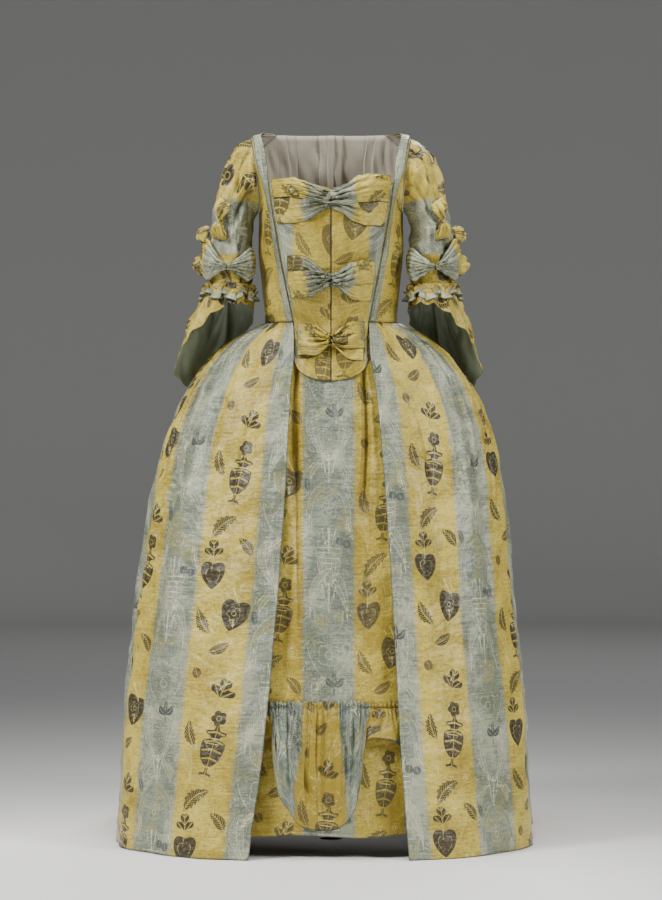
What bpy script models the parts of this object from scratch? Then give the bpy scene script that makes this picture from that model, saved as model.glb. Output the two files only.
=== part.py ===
"""Robe a la francaise: an open gown with a sack back, its petticoat and its closed front, with no wearer.

Metres, +Z up, the front faces -Y. Heights in the tables are above the floor that the hem hangs over. The
origin is between the shoulders, where the wearer holds the gown up. "left" and "right" are the wearer's own
sides. Each piece is cut as a flat grid. A drape function takes its points to their places, and Solidify
gives the wall.
"""

import math
from collections import namedtuple

import bmesh
import bpy
from mathutils import Vector

ORIGIN_HEIGHT = 1.250
WAIST = 0.915
CLOTH = 0.0015
FINE_CLOTH = 0.0012
SEAM_GAP = 0.0003
LAYER_GAP = 0.0004
STEP = 1e-3
WELD = 1e-6
NOTHING = 1e-12
LEFT, RIGHT = 1.0, -1.0
SIDES = {"left": LEFT, "right": RIGHT}

# The form under everything: the bodice above the waist, the petticoat below it.
Ring = namedtuple("Ring", "height half_width front back")
FORM = [
    Ring(0.000, 0.352, 0.270, 0.345),
    Ring(0.200, 0.341, 0.245, 0.305),
    Ring(0.400, 0.323, 0.212, 0.262),
    Ring(0.600, 0.302, 0.172, 0.215),
    Ring(0.700, 0.283, 0.150, 0.188),
    Ring(0.760, 0.260, 0.135, 0.168),
    Ring(0.800, 0.240, 0.124, 0.152),
    Ring(0.836, 0.216, 0.113, 0.134),
    Ring(0.868, 0.187, 0.102, 0.112),
    Ring(0.895, 0.150, 0.092, 0.093),
    Ring(0.915, 0.116, 0.087, 0.080),
    Ring(0.980, 0.1215, 0.103, 0.083),
    Ring(1.050, 0.1290, 0.117, 0.085),
    Ring(1.100, 0.1300, 0.120, 0.085),
    Ring(1.160, 0.1340, 0.112, 0.082),
    Ring(1.200, 0.1400, 0.098, 0.074),
    Ring(1.250, 0.1430, 0.050, 0.060),
]
FRONT_SQUARENESS = 2.2
BACK_SQUARENESS = 3.0

# How far the gown's skirt hangs outside the petticoat, at the side, the front and the back.
Clearance = namedtuple("Clearance", "height side front back")
GOWN_OVER_PETTICOAT = [
    Clearance(0.000, 0.015, 0.030, 0.040),
    Clearance(0.250, 0.013, 0.024, 0.034),
    Clearance(0.500, 0.011, 0.016, 0.026),
    Clearance(0.700, 0.009, 0.010, 0.018),
    Clearance(0.830, 0.007, 0.007, 0.010),
    Clearance(0.890, 0.004, 0.0045, 0.005),
    Clearance(0.915, 0.0005, 0.0005, 0.0005),
]
SKIRT_TOP = WAIST - 0.0022
# The heights of the rows of points below the waist, the same on every layer so that none cuts another.
LEVELS = [0.0, 0.12, 0.28, 0.46, 0.61, 0.71, 0.78, 0.83, 0.87, 0.895, SKIRT_TOP]

# The gown's two front edges, which are also the outer edges of the closed front.
Edge = namedtuple("Edge", "height x")
FRONT_EDGE = [
    Edge(0.000, 0.135),
    Edge(0.183, 0.116),
    Edge(0.401, 0.100),
    Edge(0.604, 0.0866),
    Edge(0.794, 0.0735),
    Edge(0.870, 0.0655),
    Edge(0.915, 0.0660),
    Edge(0.942, 0.0710),
    Edge(1.032, 0.0880),
    Edge(1.081, 0.0960),
    Edge(1.124, 0.1030),
    Edge(1.160, 0.1090),
]
NECK_START = 1.160
Point = namedtuple("Point", "along x y height")
NECK_EDGE = [
    Point(0.00, 0.1090, -0.0705, 1.160),
    Point(0.20, 0.1125, -0.0620, 1.187),
    Point(0.45, 0.1190, -0.0430, 1.220),
    Point(0.68, 0.1245, -0.0140, 1.244),
    Point(0.85, 0.1180, 0.0220, 1.252),
    Point(1.00, 0.0980, 0.0550, 1.2555),
]

# The armhole is an ellipse in the side view, leaning out at the top.
ARMHOLE_CENTRE = Vector((0.1345, -0.004, 1.178))
ARMHOLE_LEAN, ARMHOLE_TUCK = 0.008, 0.004
ARMHOLE_DEPTH, ARMHOLE_RISE = 0.050, 0.064
ARMPIT = math.radians(180)
SIDE_SEAM_ANGLE = math.radians(225)
SHOULDER_SEAM_ANGLE = math.radians(-50)
SLEEVE_GAP = CLOTH + 0.0004

# Where the side back seam lies, as an angle round the ring from the centre front.
Seam = namedtuple("Seam", "height angle")
SIDE_BACK_SEAM = [
    Seam(0.000, 100.0),
    Seam(0.500, 104.0),
    Seam(0.700, 110.0),
    Seam(0.850, 118.0),
    Seam(0.915, 122.0),
    Seam(0.980, 119.0),
    Seam(1.050, 115.0),
    Seam(1.100, 108.0),
    Seam(1.133, 104.0),
]
SIDE_SEAM_TOP = 1.133

# The sack back, from the neck down to the hem: its centre, how square its plan is, how much of its top
# edge follows the shoulder, how far it spreads beyond its side seams, and how deep one fold stands.
Sack = namedtuple("Sack", "along centre_height back square shoulder spread level_depth")
SACK = [
    Sack(0.00, 1.2560, 0.064, 2.8, 1.0, 0.00, 0.0030),
    Sack(0.06, 1.1950, 0.078, 3.0, 0.6, 0.00, 0.0045),
    Sack(0.12, 1.1400, 0.094, 3.0, 0.2, 0.00, 0.0065),
    Sack(0.20, 1.0700, 0.118, 2.9, 0.0, 0.00, 0.0090),
    Sack(0.30, 0.9800, 0.148, 2.6, 0.0, 0.01, 0.0120),
    Sack(0.38, 0.9000, 0.177, 2.5, 0.0, 0.02, 0.0150),
    Sack(0.50, 0.7600, 0.240, 2.4, 0.0, 0.04, 0.0190),
    Sack(0.70, 0.5000, 0.365, 2.4, 0.0, 0.08, 0.0250),
    Sack(0.88, 0.2200, 0.480, 2.4, 0.0, 0.12, 0.0290),
    Sack(1.00, 0.0000, 0.570, 2.4, 0.0, 0.15, 0.0310),
]
ARMHOLE_TO, WAIST_AT = 0.13, 0.38
SACK_UPPER_ROWS = [0.0, 0.025, 0.06, 0.095, ARMHOLE_TO, 0.20, 0.29]
# One side's folds: two stacked box pleats, then the plain cloth out to the seam.
Fold = namedtuple("Fold", "at_neck at_hem level")
SACK_FOLDS = [
    Fold(0.000, 0.000, 0.0),
    Fold(0.025, 0.020, 0.0),
    Fold(0.045, 0.065, 1.0),
    Fold(0.120, 0.110, 1.0),
    Fold(0.140, 0.155, 2.0),
    Fold(0.260, 0.215, 2.1),
    Fold(0.400, 0.290, 2.0),
    Fold(0.420, 0.335, 1.0),
    Fold(0.500, 0.390, 1.0),
    Fold(0.520, 0.440, 0.0),
    Fold(0.600, 0.530, 0.0),
    Fold(0.690, 0.640, 0.25),
    Fold(0.790, 0.760, 0.0),
    Fold(0.900, 0.880, 0.2),
    Fold(1.000, 1.000, 0.0),
]
SOFT_FOLDS_FROM, SOFT_FOLDS_GROW = 10.5, 3.0
FOLDS_OPEN = 1.1
SHOULDER_LIES = 0.715
BACK_SAMPLES = 48
# How the sack laps over the side back seam: the share of the lap that goes sideways at the bodice and at the
# skirt, and how quickly it comes in below the armhole.
LAP = CLOTH + LAYER_GAP
BODICE_LAP, SKIRT_LAP, LAP_GROWS = 0.7, 0.8, 4.0

# The gown's skirt: pleats sewn in at the waist, which open into a few long flutes.
WAIST_PLEATS = 8
WAIST_PLEAT_DEPTH = 0.0070
PLEATS_FROM, PLEATS_TO = 0.34, 0.96
PLEATS_END = 0.42
FLUTES = 2.5
FLUTE_DEPTH = 0.008
FLUTES_FADE = 1.3
EDGE_ROUNDNESS = 0.5
PLAIN_COLUMNS = 4

PETTICOAT_TOP = WAIST - 0.006
PETTICOAT_HEM = 0.037
PETTICOAT_PLEATS = 12
PETTICOAT_PLEAT_DEPTH = 0.0045
PETTICOAT_COLUMNS = 52
PLAIN_FRONT, PLAIN_FRONT_ENDS = 0.16, 0.06
PLEATED_FROM, PLEATED_WITHIN = 0.45, 0.5

# The flounce on the petticoat: the lower edge, from the centre out to one side.
Hem = namedtuple("Hem", "x height roll")
FLOUNCE_TOP = 0.262
FLOUNCE_SEAM = 0.252
FLOUNCE_HALF = 0.124
FLOUNCE_GATHERS = 26
FLOUNCE_GATHER_DEPTH = 0.0036
FLOUNCE_HEM = [
    Hem(0.000, 0.056, 0.000),
    Hem(0.035, 0.058, 0.002),
    Hem(0.058, 0.074, 0.008),
    Hem(0.072, 0.112, 0.016),
    Hem(0.084, 0.180, 0.010),
    Hem(0.098, 0.200, 0.003),
    Hem(0.112, 0.198, 0.002),
    Hem(0.130, 0.170, 0.001),
]
# The stitches hold the flounce down, below them it stands off, and its gathers fade towards the lower edge.
STITCHES_REACH, STITCHES_HOLD = 0.006, 0.9
FLOUNCE_STAND, FLOUNCE_STAND_GROWS = 0.0045, 4.0
GATHERS_LEFT_BELOW, GATHERS_GROW = 0.35, 1.2
FLOUNCE_ROWS = 4
FLOUNCE_COLUMNS_A_GATHER = 3

# The closed front: two halves that meet at a slit and end in rounded tabs over the petticoat.
SLIT_HALF = 0.0008
Tab = namedtuple("Tab", "share height")
COMPERE_LOWER = [
    Tab(0.00, 0.809),
    Tab(0.35, 0.812),
    Tab(0.70, 0.821),
    Tab(0.90, 0.834),
    Tab(1.00, 0.848),
]
COMPERE_UPPER = [
    Tab(0.00, 1.1450),
    Tab(0.30, 1.1520),
    Tab(1.00, 1.1595),
]
COMPERE_COLUMNS = 5
TAB_SHARE = 0.28
TAB_ROWS, BODY_ROWS = 4, 8
TAB_EASE = 0.0016
TAB_STARTS, TAB_FREE = 0.925, 0.90
TAB_LIFT, TAB_LIFT_WITHIN = 0.0008, 0.03

ROBING_WIDTH = 0.021
ROBING_START = 0.01
STRAP_SHARE = 0.86
STRAP_EASE, STRAP_EASE_WITHIN = 0.0012, 0.1
ROBING_COLUMNS, ROBING_ROWS = 3, 18

# The three bows, each of two crossing ribbons. A row gives a ribbon's height at its pinch and at its two
# ends, how tall it is there, and how far it stands off what is under it.
Ribbon = namedtuple(
    "Ribbon", "name half_span pinch pinch_height right_end right_height left_end left_height stand puff"
)
RIBBONS = [
    Ribbon("bow_top_under", 0.1000, 1.120, 0.020, 1.111, 0.052, 1.104, 0.046, 0.0000, 0.0022),
    Ribbon("bow_top_over", 0.1040, 1.130, 0.022, 1.148, 0.032, 1.147, 0.048, 0.0020, 0.0095),
    Ribbon("bow_middle_under", 0.0765, 0.986, 0.018, 1.012, 0.034, 0.967, 0.034, 0.0000, 0.0020),
    Ribbon("bow_middle_over", 0.0765, 0.986, 0.022, 0.979, 0.046, 1.000, 0.039, 0.0019, 0.0095),
    Ribbon("bow_low_under", 0.0570, 0.880, 0.018, 0.873, 0.044, 0.866, 0.040, 0.0014, 0.0016),
    Ribbon("bow_low_over", 0.0585, 0.882, 0.018, 0.883, 0.056, 0.891, 0.048, 0.0034, 0.0105),
]
BOW_PLEATS = 4.0
BOW_PLEAT_DEPTH = 0.0020
BOW_EDGE_GAP = 0.0035
BOW_WIDENS, BOW_SLANTS = 2.0, 1.4
PUFF_REACH, PUFF_ROUNDNESS, PUFF_FLATTER = 1.04, 0.7, 0.75
FULL_PUFF = 0.006
KNOT_RISE, FULL_STAND = 0.0015, 0.0018
PLEATS_AT_PINCH, PLEATS_FADE, PLEATS_GROW = 0.4, 1.3, 5.0
KNOT_FADES = 3.0
BOW_COLUMNS, BOW_ROWS = 12, 5

# The sleeve: the outer and inner outline in the front view, and the depth of each ring.
SleeveRing = namedtuple("SleeveRing", "along outer_x outer_height inner_x inner_height depth y")
SLEEVE = [
    SleeveRing(0.00, 0.1425, 1.2420, 0.1265, 1.1140, 0.0500, -0.004),
    SleeveRing(0.12, 0.1690, 1.2270, 0.1330, 1.1060, 0.0520, -0.004),
    SleeveRing(0.24, 0.1860, 1.1950, 0.1360, 1.0980, 0.0520, -0.004),
    SleeveRing(0.38, 0.2000, 1.1500, 0.1385, 1.0860, 0.0510, -0.004),
    SleeveRing(0.54, 0.2120, 1.0950, 0.1395, 1.0650, 0.0500, -0.005),
    SleeveRing(0.70, 0.2185, 1.0540, 0.1400, 1.0380, 0.0500, -0.008),
    SleeveRing(0.86, 0.2210, 1.0180, 0.1405, 1.0090, 0.0490, -0.012),
    SleeveRing(1.00, 0.2185, 0.9860, 0.1425, 0.9830, 0.0470, -0.016),
]
SLEEVE_COLUMNS, SLEEVE_ROWS = 20, 9
SLEEVE_PUCKERS = 5
SLEEVE_PUCKER_DEPTH = 0.0016
PUCKERS_FROM, PUCKERS_WITHIN = 0.55, 0.3
SET_IN_WITHIN = 0.12

# The elbow flounce: how long it falls and how far it flares, by the angle round the arm.
# 0 is outward, 90 the front, 180 towards the body, 270 the back.
Fall = namedtuple("Fall", "angle length flare")
ELBOW_FLOUNCE = [
    Fall(0.0, 0.130, 0.040),
    Fall(45.0, 0.072, 0.020),
    Fall(95.0, 0.038, 0.010),
    Fall(140.0, 0.036, 0.006),
    Fall(180.0, 0.044, 0.002),
    Fall(225.0, 0.070, 0.012),
    Fall(270.0, 0.118, 0.040),
    Fall(315.0, 0.180, 0.060),
    Fall(360.0, 0.130, 0.040),
]
SCALLOPS = 12
SCALLOP_DEPTH = 0.006
ELBOW_FLUTES = 9
ELBOW_FLUTE_DEPTH = 0.006
MIDDLE_OF_SCALLOP = 0.6
ELBOW_FLUTES_GROW = 1.5
FULL_FLARE, FLUTES_LEFT = 0.012, 0.15
STRAIGHT_FLARE, FLARE_GROWS = 0.25, 0.9
HIP_CLEARANCE = 0.012
HIP_SOFTNESS, HIP_REACH = 0.010, 0.04
ELBOW_COLUMNS, ELBOW_ROWS = 36, 4
FRILL_GATHERS = 18
FRILL_DEPTH = 0.0042
FRILL_FALL = 0.020
FRILL_STAND = 0.0016
FRILL_GATHERS_AT_TOP, FRILL_GATHERS_GROW = 0.35, 1.5
FRILL_COLUMNS_A_GATHER = 3
FRILL_ROWS = 2

# Bows on the sleeve: where on it each is pinched, how far its loops reach round the arm and along it, how
# far they puff out, and whether the loops point up and down.
Knot = namedtuple("Knot", "name angle along half_turn half_along puff upright")
SLEEVE_KNOTS = [
    Knot("elbow_bow", 90.0, 0.850, 54.0, 0.085, 0.011, False),
    Knot("upper_bow", 68.0, 0.530, 14.0, 0.125, 0.013, True),
    Knot("outer_bow", 14.0, 0.640, 17.0, 0.050, 0.019, False),
    Knot("outer_elbow_bow", 4.0, 0.870, 19.0, 0.058, 0.019, False),
]
KNOT_PINCH, KNOT_WIDENS = 0.30, 1.3
KNOT_PUFF_REACH, KNOT_ROUNDNESS, KNOT_FLATTER = 0.94, 0.8, 0.5
KNOT_COLUMNS, KNOT_ROWS = 8, 2

# Each silk's colour and roughness.
STRIPED_SILK = ((0.48, 0.38, 0.15), 0.42)
BLUE_SILK = ((0.42, 0.45, 0.38), 0.40)
BOW_SILK = ((0.52, 0.43, 0.20), 0.40)


def clear_scene():
    for obj in list(bpy.data.objects):
        bpy.data.objects.remove(obj)


def new_material(name, colour, roughness):
    material = bpy.data.materials.new(name)
    material.use_nodes = True
    shader = material.node_tree.nodes["Principled BSDF"]
    shader.inputs["Base Color"].default_value = (*colour, 1.0)
    shader.inputs["Roughness"].default_value = roughness
    shader.inputs["Metallic"].default_value = 0.0
    return material


def clamped(value, low=0.0, high=1.0):
    return max(low, min(high, value))


def eased(value):
    value = clamped(value)
    return value * value * (3 - 2 * value)


def mixed(a, b, share):
    return a + (b - a) * share


def read(table, key, at, column):
    """A smooth curve through one column of a table, with no overshoot between its rows."""
    keys = [getattr(row, key) for row in table]
    values = [getattr(row, column) for row in table]
    at = clamped(at, keys[0], keys[-1])
    i = next(n for n in range(len(keys) - 1) if at <= keys[n + 1])
    slopes = [(values[n + 1] - values[n]) / (keys[n + 1] - keys[n]) for n in range(len(keys) - 1)]

    def tangent(n):
        if n in (0, len(keys) - 1):
            return slopes[min(n, len(slopes) - 1)]
        before, after = slopes[n - 1], slopes[n]
        return 0.0 if before * after <= 0 else 2 * before * after / (before + after)

    width = keys[i + 1] - keys[i]
    t = (at - keys[i]) / width
    start, end = tangent(i) * width, tangent(i + 1) * width
    return (
        values[i] * (2 * t**3 - 3 * t**2 + 1)
        + start * (t**3 - 2 * t**2 + t)
        + values[i + 1] * (3 * t**2 - 2 * t**3)
        + end * (t**3 - t**2)
    )


def at(x, y, height):
    return Vector((x, y, height - ORIGIN_HEIGHT))


def power(value, exponent):
    return math.copysign(abs(value) ** exponent, value)


def ring_point(half_width, front, back, angle, height):
    """A point of a horizontal ring: angle 0 is the centre front, a quarter turn the left side."""
    facing_front = math.cos(angle) >= 0
    squareness = FRONT_SQUARENESS if facing_front else BACK_SQUARENESS
    depth = front if facing_front else back
    x = half_width * power(math.sin(angle), 2 / squareness)
    y = -depth * power(math.cos(angle), 2 / squareness)
    return at(x, y, height)


def form(angle, height, out=0.0):
    half_width, front, back = (read(FORM, "height", height, c) for c in ("half_width", "front", "back"))
    return ring_point(half_width + out, front + out, back + out, angle, height)


def gown_ring(angle, height, out=0.0):
    """The gown's own ring: the form, and below the waist the clearance over the petticoat."""
    side, front, back = (
        read(GOWN_OVER_PETTICOAT, "height", height, c) if height < WAIST else 0.0
        for c in ("side", "front", "back")
    )
    half_width, depth, rear = (read(FORM, "height", height, c) for c in ("half_width", "front", "back"))
    return ring_point(half_width + side + out, depth + front + out, rear + back + out, angle, height)


def angle_at(x, half_width):
    """The angle on the front half of a ring at that distance from the centre."""
    return math.asin(clamped(abs(x) / half_width) ** (FRONT_SQUARENESS / 2))


def form_front(x, height, out=0.0):
    """The point of the form's front at that distance from the centre."""
    half_width = read(FORM, "height", height, "half_width") + out
    point = form(angle_at(x, half_width), height, out)
    point.x = x
    return point


def front_edge_x(height):
    return read(FRONT_EDGE, "height", height, "x")


def armhole(angle, out=0.0):
    """The armhole's edge: angle 0 is its top, a quarter turn its front, a half turn the armpit."""
    c, s = math.cos(angle), math.sin(angle)
    x = ARMHOLE_CENTRE.x + ARMHOLE_LEAN * c - ARMHOLE_TUCK * abs(s) + out
    return at(x, ARMHOLE_CENTRE.y - ARMHOLE_DEPTH * s, ARMHOLE_CENTRE.z + ARMHOLE_RISE * c)


def normal_of(surface, u, v, ring=False):
    """The way a surface faces. On a ring u runs on past its ends."""
    before, after = (u - STEP) % 1.0, (u + STEP) % 1.0
    if not ring:
        before, after = max(u - STEP, 0.0), min(u + STEP, 1.0)
    across = surface(after, v) - surface(before, v)
    along = surface(u, min(v + STEP, 1.0)) - surface(u, max(v - STEP, 0.0))
    return across.cross(along).normalized()


def cut(name, drape, columns, rows, material, side=LEFT, thickness=CLOTH, out=1.0, ring=False):
    """One piece of cloth. drape(u, v) places the flat grid's points, with u across and v upward. The grid
    faces the way of across x upward: out 1 adds the wall on that side, and -1 on the other. side mirrors
    the piece, and a ring is closed where u meets itself."""
    across = columns if isinstance(columns, list) else [n / columns for n in range(columns + 1)]
    upward = rows if isinstance(rows, list) else [n / rows for n in range(rows + 1)]
    mesh = bpy.data.meshes.new(name)
    grid = bmesh.new()
    bmesh.ops.create_grid(grid, x_segments=len(across) - 1, y_segments=len(upward) - 1, size=0.5)
    for vert in grid.verts:
        u = across[round((vert.co.x + 0.5) * (len(across) - 1))]
        v = upward[round((vert.co.y + 0.5) * (len(upward) - 1))]
        point = drape(u % 1.0 if ring else u, v)
        vert.co = Vector((point.x * side, point.y, point.z))
    if side == RIGHT:
        bmesh.ops.reverse_faces(grid, faces=grid.faces)
    if ring:
        bmesh.ops.remove_doubles(grid, verts=grid.verts, dist=WELD)
    grid.to_mesh(mesh)
    grid.free()
    mesh.shade_smooth()
    mesh.materials.append(material)
    piece = bpy.data.objects.new(name, mesh)
    collection.objects.link(piece)
    wall = piece.modifiers.new("wall", "SOLIDIFY")
    wall.thickness = thickness
    wall.offset = out
    return piece


# The bodice -----------------------------------------------------------------------------------------

EDGE_SHARE = 0.62
ARMHOLE_STARTS = 0.50
# From the chest up the cloth leaves the form and runs straight across to the strap.
STRAIGHT_FROM, STRAIGHT_WITHIN = 0.42, 0.33
CHEST_SWELL, SWELL_FROM, SWELL_WITHIN = 0.006, 0.6, 0.3
STRAP_RISE = 0.002
SHOULDER_FROM, SHOULDER_WITHIN = 0.82, 0.18
BEHIND_ARM = 0.001
BODICE_COLUMNS, BODICE_ROWS = 8, 18
SIDE_BACK_COLUMNS, SIDE_BACK_ROWS = 4, 6


def bodice_front_edge(v):
    """Up the gown's front edge to the top of the closed front, then along the neck to the shoulder seam."""
    start = form_front(front_edge_x(NECK_START) + SEAM_GAP / 2, NECK_START)
    if v <= EDGE_SHARE:
        height = mixed(WAIST, NECK_START, v / EDGE_SHARE)
        return form_front(front_edge_x(height) + SEAM_GAP / 2, height)
    along = (v - EDGE_SHARE) / (1 - EDGE_SHARE)
    point = at(*(read(NECK_EDGE, "along", along, c) for c in ("x", "y", "height")))
    slip = start - at(*NECK_EDGE[0][1:])
    return point + slip * (1 - eased(along * 2))


def bodice_side(v):
    """Up the side seam under the arm, then round the front of the armhole and over the shoulder."""
    if v <= ARMHOLE_STARTS:
        share = v / ARMHOLE_STARTS
        top = armhole(ARMPIT)
        height = mixed(WAIST, top.z + ORIGIN_HEIGHT, share)
        slip = top - form(math.pi / 2, top.z + ORIGIN_HEIGHT)
        return form(math.pi / 2, height) + slip * share**3
    share = (v - ARMHOLE_STARTS) / (1 - ARMHOLE_STARTS)
    return armhole(mixed(ARMPIT, SHOULDER_SEAM_ANGLE, share))


def shoulder_seam(u):
    """Along the shoulder from the neck to the armhole, just before the sack's top edge."""
    edge, side = bodice_front_edge(1.0), armhole(SHOULDER_SEAM_ANGLE)
    back, square = SACK[0].back, SACK[0].square
    x = mixed(edge.x, side.x, u)
    turn = math.asin(clamped(x / side.x) ** (square / 2))
    y = side.y + (back - side.y) * math.cos(turn) ** (2 / square)
    return Vector((x, y - SEAM_GAP * 1.5, mixed(edge.z, side.z, u)))


def bodice_front(u, v):
    """From the front edge round to the side: on the form below the arm, straight across at the shoulder."""
    edge, side = bodice_front_edge(v), bodice_side(v)
    share = eased((v - STRAIGHT_FROM) / STRAIGHT_WITHIN)
    height_a, height_b = edge.z + ORIGIN_HEIGHT, side.z + ORIGIN_HEIGHT
    height = mixed(height_a, height_b, u)

    def turn(point, level):
        half_width = read(FORM, "height", level, "half_width")
        angle = angle_at(point.x, half_width)
        return math.pi - angle if point.y > BEHIND_ARM else angle

    turn_a, turn_b = turn(edge, height_a), turn(side, height_b)
    on_form = form(mixed(turn_a, turn_b, u), height)
    on_form += (edge - form(turn_a, height_a)) * (1 - u) + (side - form(turn_b, height_b)) * u
    across = edge.lerp(side, u)
    across.y -= CHEST_SWELL * math.sin(math.pi * u) * (1 - eased((v - SWELL_FROM) / SWELL_WITHIN))
    across.z += STRAP_RISE * math.sin(math.pi * u)
    seam_share = eased((v - SHOULDER_FROM) / SHOULDER_WITHIN)
    seam_from, seam_to = bodice_front_edge(1.0), bodice_side(1.0)
    across += (shoulder_seam(u) - seam_from.lerp(seam_to, u)) * seam_share
    return on_form.lerp(across, share)


def bodice_side_back(u, v):
    """The small piece between the side seam and the sack, up to the back of the armhole."""
    top = armhole(mixed(ARMPIT, SIDE_SEAM_ANGLE, u))
    height = mixed(WAIST, top.z + ORIGIN_HEIGHT, v)
    turn_b = math.radians(read(SIDE_BACK_SEAM, "height", height, "angle"))
    angle = mixed(math.pi / 2, turn_b, u)
    top_angle = mixed(math.pi / 2, math.radians(SIDE_BACK_SEAM[-1].angle), u)
    slip = top - form(top_angle, top.z + ORIGIN_HEIGHT)
    point = form(angle, height) + slip * v**3
    point.y += SEAM_GAP * (1 - u)
    return point


def robing(u, v):
    """The folded strip over the gown's front edge, as wide as the strap lets it be."""
    width = (bodice_front(1.0, v) - bodice_front(0.0, v)).length
    share = min(ROBING_WIDTH / width, STRAP_SHARE) * mixed(ROBING_START, 1.0, u)
    out = CLOTH + LAYER_GAP + STRAP_EASE * eased((v - EDGE_SHARE) / STRAP_EASE_WITHIN)
    return bodice_front(share, v) + normal_of(bodice_front, share, v) * out


def compere(u, v):
    """One half of the closed front, on the form, easing in beside the skirt's edge below the waist."""
    lower = read(COMPERE_LOWER, "share", u, "height")
    upper = read(COMPERE_UPPER, "share", u, "height")
    height = mixed(lower, WAIST, v / TAB_SHARE)
    if v > TAB_SHARE:
        height = mixed(WAIST, upper, (v - TAB_SHARE) / (1 - TAB_SHARE))
    ease = TAB_EASE * (1 - eased((height - TAB_FREE) / (TAB_STARTS - TAB_FREE)))
    outer = front_edge_x(height) - SEAM_GAP / 2 - ease
    over_waist = TAB_LIFT * (1 - eased((height - WAIST) / TAB_LIFT_WITHIN))
    return form_front(mixed(SLIT_HALF, outer, u), height, over_waist)


# The gown's skirt and sack --------------------------------------------------------------------------


def pleat_wave(share, count):
    """Rounded pleats that stand out from 0 to 1, count of them over the share."""
    return 0.5 - 0.5 * math.cos(2 * math.pi * count * share)


def gown_skirt(u, v):
    """From the front edge to the side back seam. v is 0 at the hem and 1 at the waist."""
    height = mixed(0.0, SKIRT_TOP, v)
    half_width = gown_ring(math.pi / 2, height).x
    start = angle_at(front_edge_x(height), half_width)
    end = math.radians(read(SIDE_BACK_SEAM, "height", height, "angle"))
    in_pleats = clamped((u - PLEATS_FROM) / (PLEATS_TO - PLEATS_FROM))
    ends = math.sin(math.pi * in_pleats) ** EDGE_ROUNDNESS
    near_waist = eased((v - (1 - PLEATS_END)) / PLEATS_END)
    pleats = WAIST_PLEAT_DEPTH * pleat_wave(in_pleats, WAIST_PLEATS) * ends * near_waist
    towards_hem = 1 - eased(v * FLUTES_FADE)
    flutes = FLUTE_DEPTH * pleat_wave(u, FLUTES) * towards_hem * math.sin(math.pi * u) ** EDGE_ROUNDNESS
    return gown_ring(mixed(start, end, u), height, pleats + flutes)


def side_back(height):
    """The side back seam's point at a height, on the bodice or on the skirt."""
    angle = math.radians(read(SIDE_BACK_SEAM, "height", height, "angle"))
    return gown_ring(angle, height)


def sack_side(along):
    """The sack's edge: round the back of the armhole, then lapped over the side back seam to the hem."""
    top = armhole(SIDE_SEAM_ANGLE)
    if along <= ARMHOLE_TO:
        share = along / ARMHOLE_TO
        edge = armhole(mixed(SHOULDER_SEAM_ANGLE, SIDE_SEAM_ANGLE - 2 * math.pi, share))
        return edge + Vector((0.0, LAP * eased(1 - LAP_GROWS * (1 - share)), 0.0))
    share = (along - ARMHOLE_TO) / (WAIST_AT - ARMHOLE_TO)
    if share <= 1:
        height = mixed(SIDE_SEAM_TOP, WAIST, share)
        slip = top - side_back(SIDE_SEAM_TOP)
        edge = side_back(height) + slip * (1 - share) ** 3
        return edge + Vector((LAP * BODICE_LAP * eased(share * LAP_GROWS), LAP, 0.0))
    height = mixed(WAIST, 0.0, (along - WAIST_AT) / (1 - WAIST_AT))
    return side_back(height) + Vector((LAP * SKIRT_LAP, LAP, 0.0))


def sack_base(along):
    """The sack's level at a share of the way down, from its centre to its side, with no pleats."""
    edge = sack_side(along)
    names = ("back", "centre_height", "square", "shoulder", "spread")
    back, centre_height, square, shoulder, spread = (read(SACK, "along", along, c) for c in names)
    points = []
    for n in range(BACK_SAMPLES + 1):
        turn = math.pi / 2 * n / BACK_SAMPLES
        share = math.sin(turn) ** (2 / square)
        x = edge.x * share * (1 + spread * math.sin(2 * turn))
        y = edge.y + (back - edge.y) * max(math.cos(turn), 0.0) ** (2 / square)
        fall = mixed(share**2, clamped((share - SHOULDER_LIES) / (1 - SHOULDER_LIES)), shoulder)
        height = mixed(centre_height, edge.z + ORIGIN_HEIGHT, fall)
        points.append(at(x, y, height))
    return points


def along_line(points, share):
    """The point and the outward direction at a share of a line's length."""
    lengths = [0.0]
    for a, b in zip(points, points[1:]):
        lengths.append(lengths[-1] + (b - a).length)
    target = clamped(share) * lengths[-1]
    i = next(n for n in range(len(points) - 1) if target <= lengths[n + 1] + NOTHING)
    t = (target - lengths[i]) / max(lengths[i + 1] - lengths[i], NOTHING)
    before = points[max(i - 1, 0)]
    after = points[min(i + 2, len(points) - 1)]
    direction = after - before
    outward = Vector((-direction.y, direction.x, 0.0)).normalized()
    return points[i].lerp(points[i + 1], t), outward


def sack(u, v):
    """u counts the fold lines across, from the left seam to the right one, and v goes up."""
    along = 1 - v
    count = len(SACK_FOLDS) - 1
    line = abs(2 * u - 1) * count
    i = min(int(line), count - 1)
    opened = eased(along * FOLDS_OPEN)
    low = mixed(SACK_FOLDS[i].at_neck, SACK_FOLDS[i].at_hem, opened)
    high = mixed(SACK_FOLDS[i + 1].at_neck, SACK_FOLDS[i + 1].at_hem, opened)
    share = mixed(low, high, line - i)
    point, outward = along_line(sack_base(along), share)
    level = mixed(SACK_FOLDS[i].level, SACK_FOLDS[i + 1].level, line - i)
    if line > SOFT_FOLDS_FROM:
        level *= eased(along * SOFT_FOLDS_GROW)
    point = point + outward * read(SACK, "along", along, "level_depth") * level
    return Vector((math.copysign(point.x, 0.5 - u), point.y, point.z))


# The petticoat --------------------------------------------------------------------------------------


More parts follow.
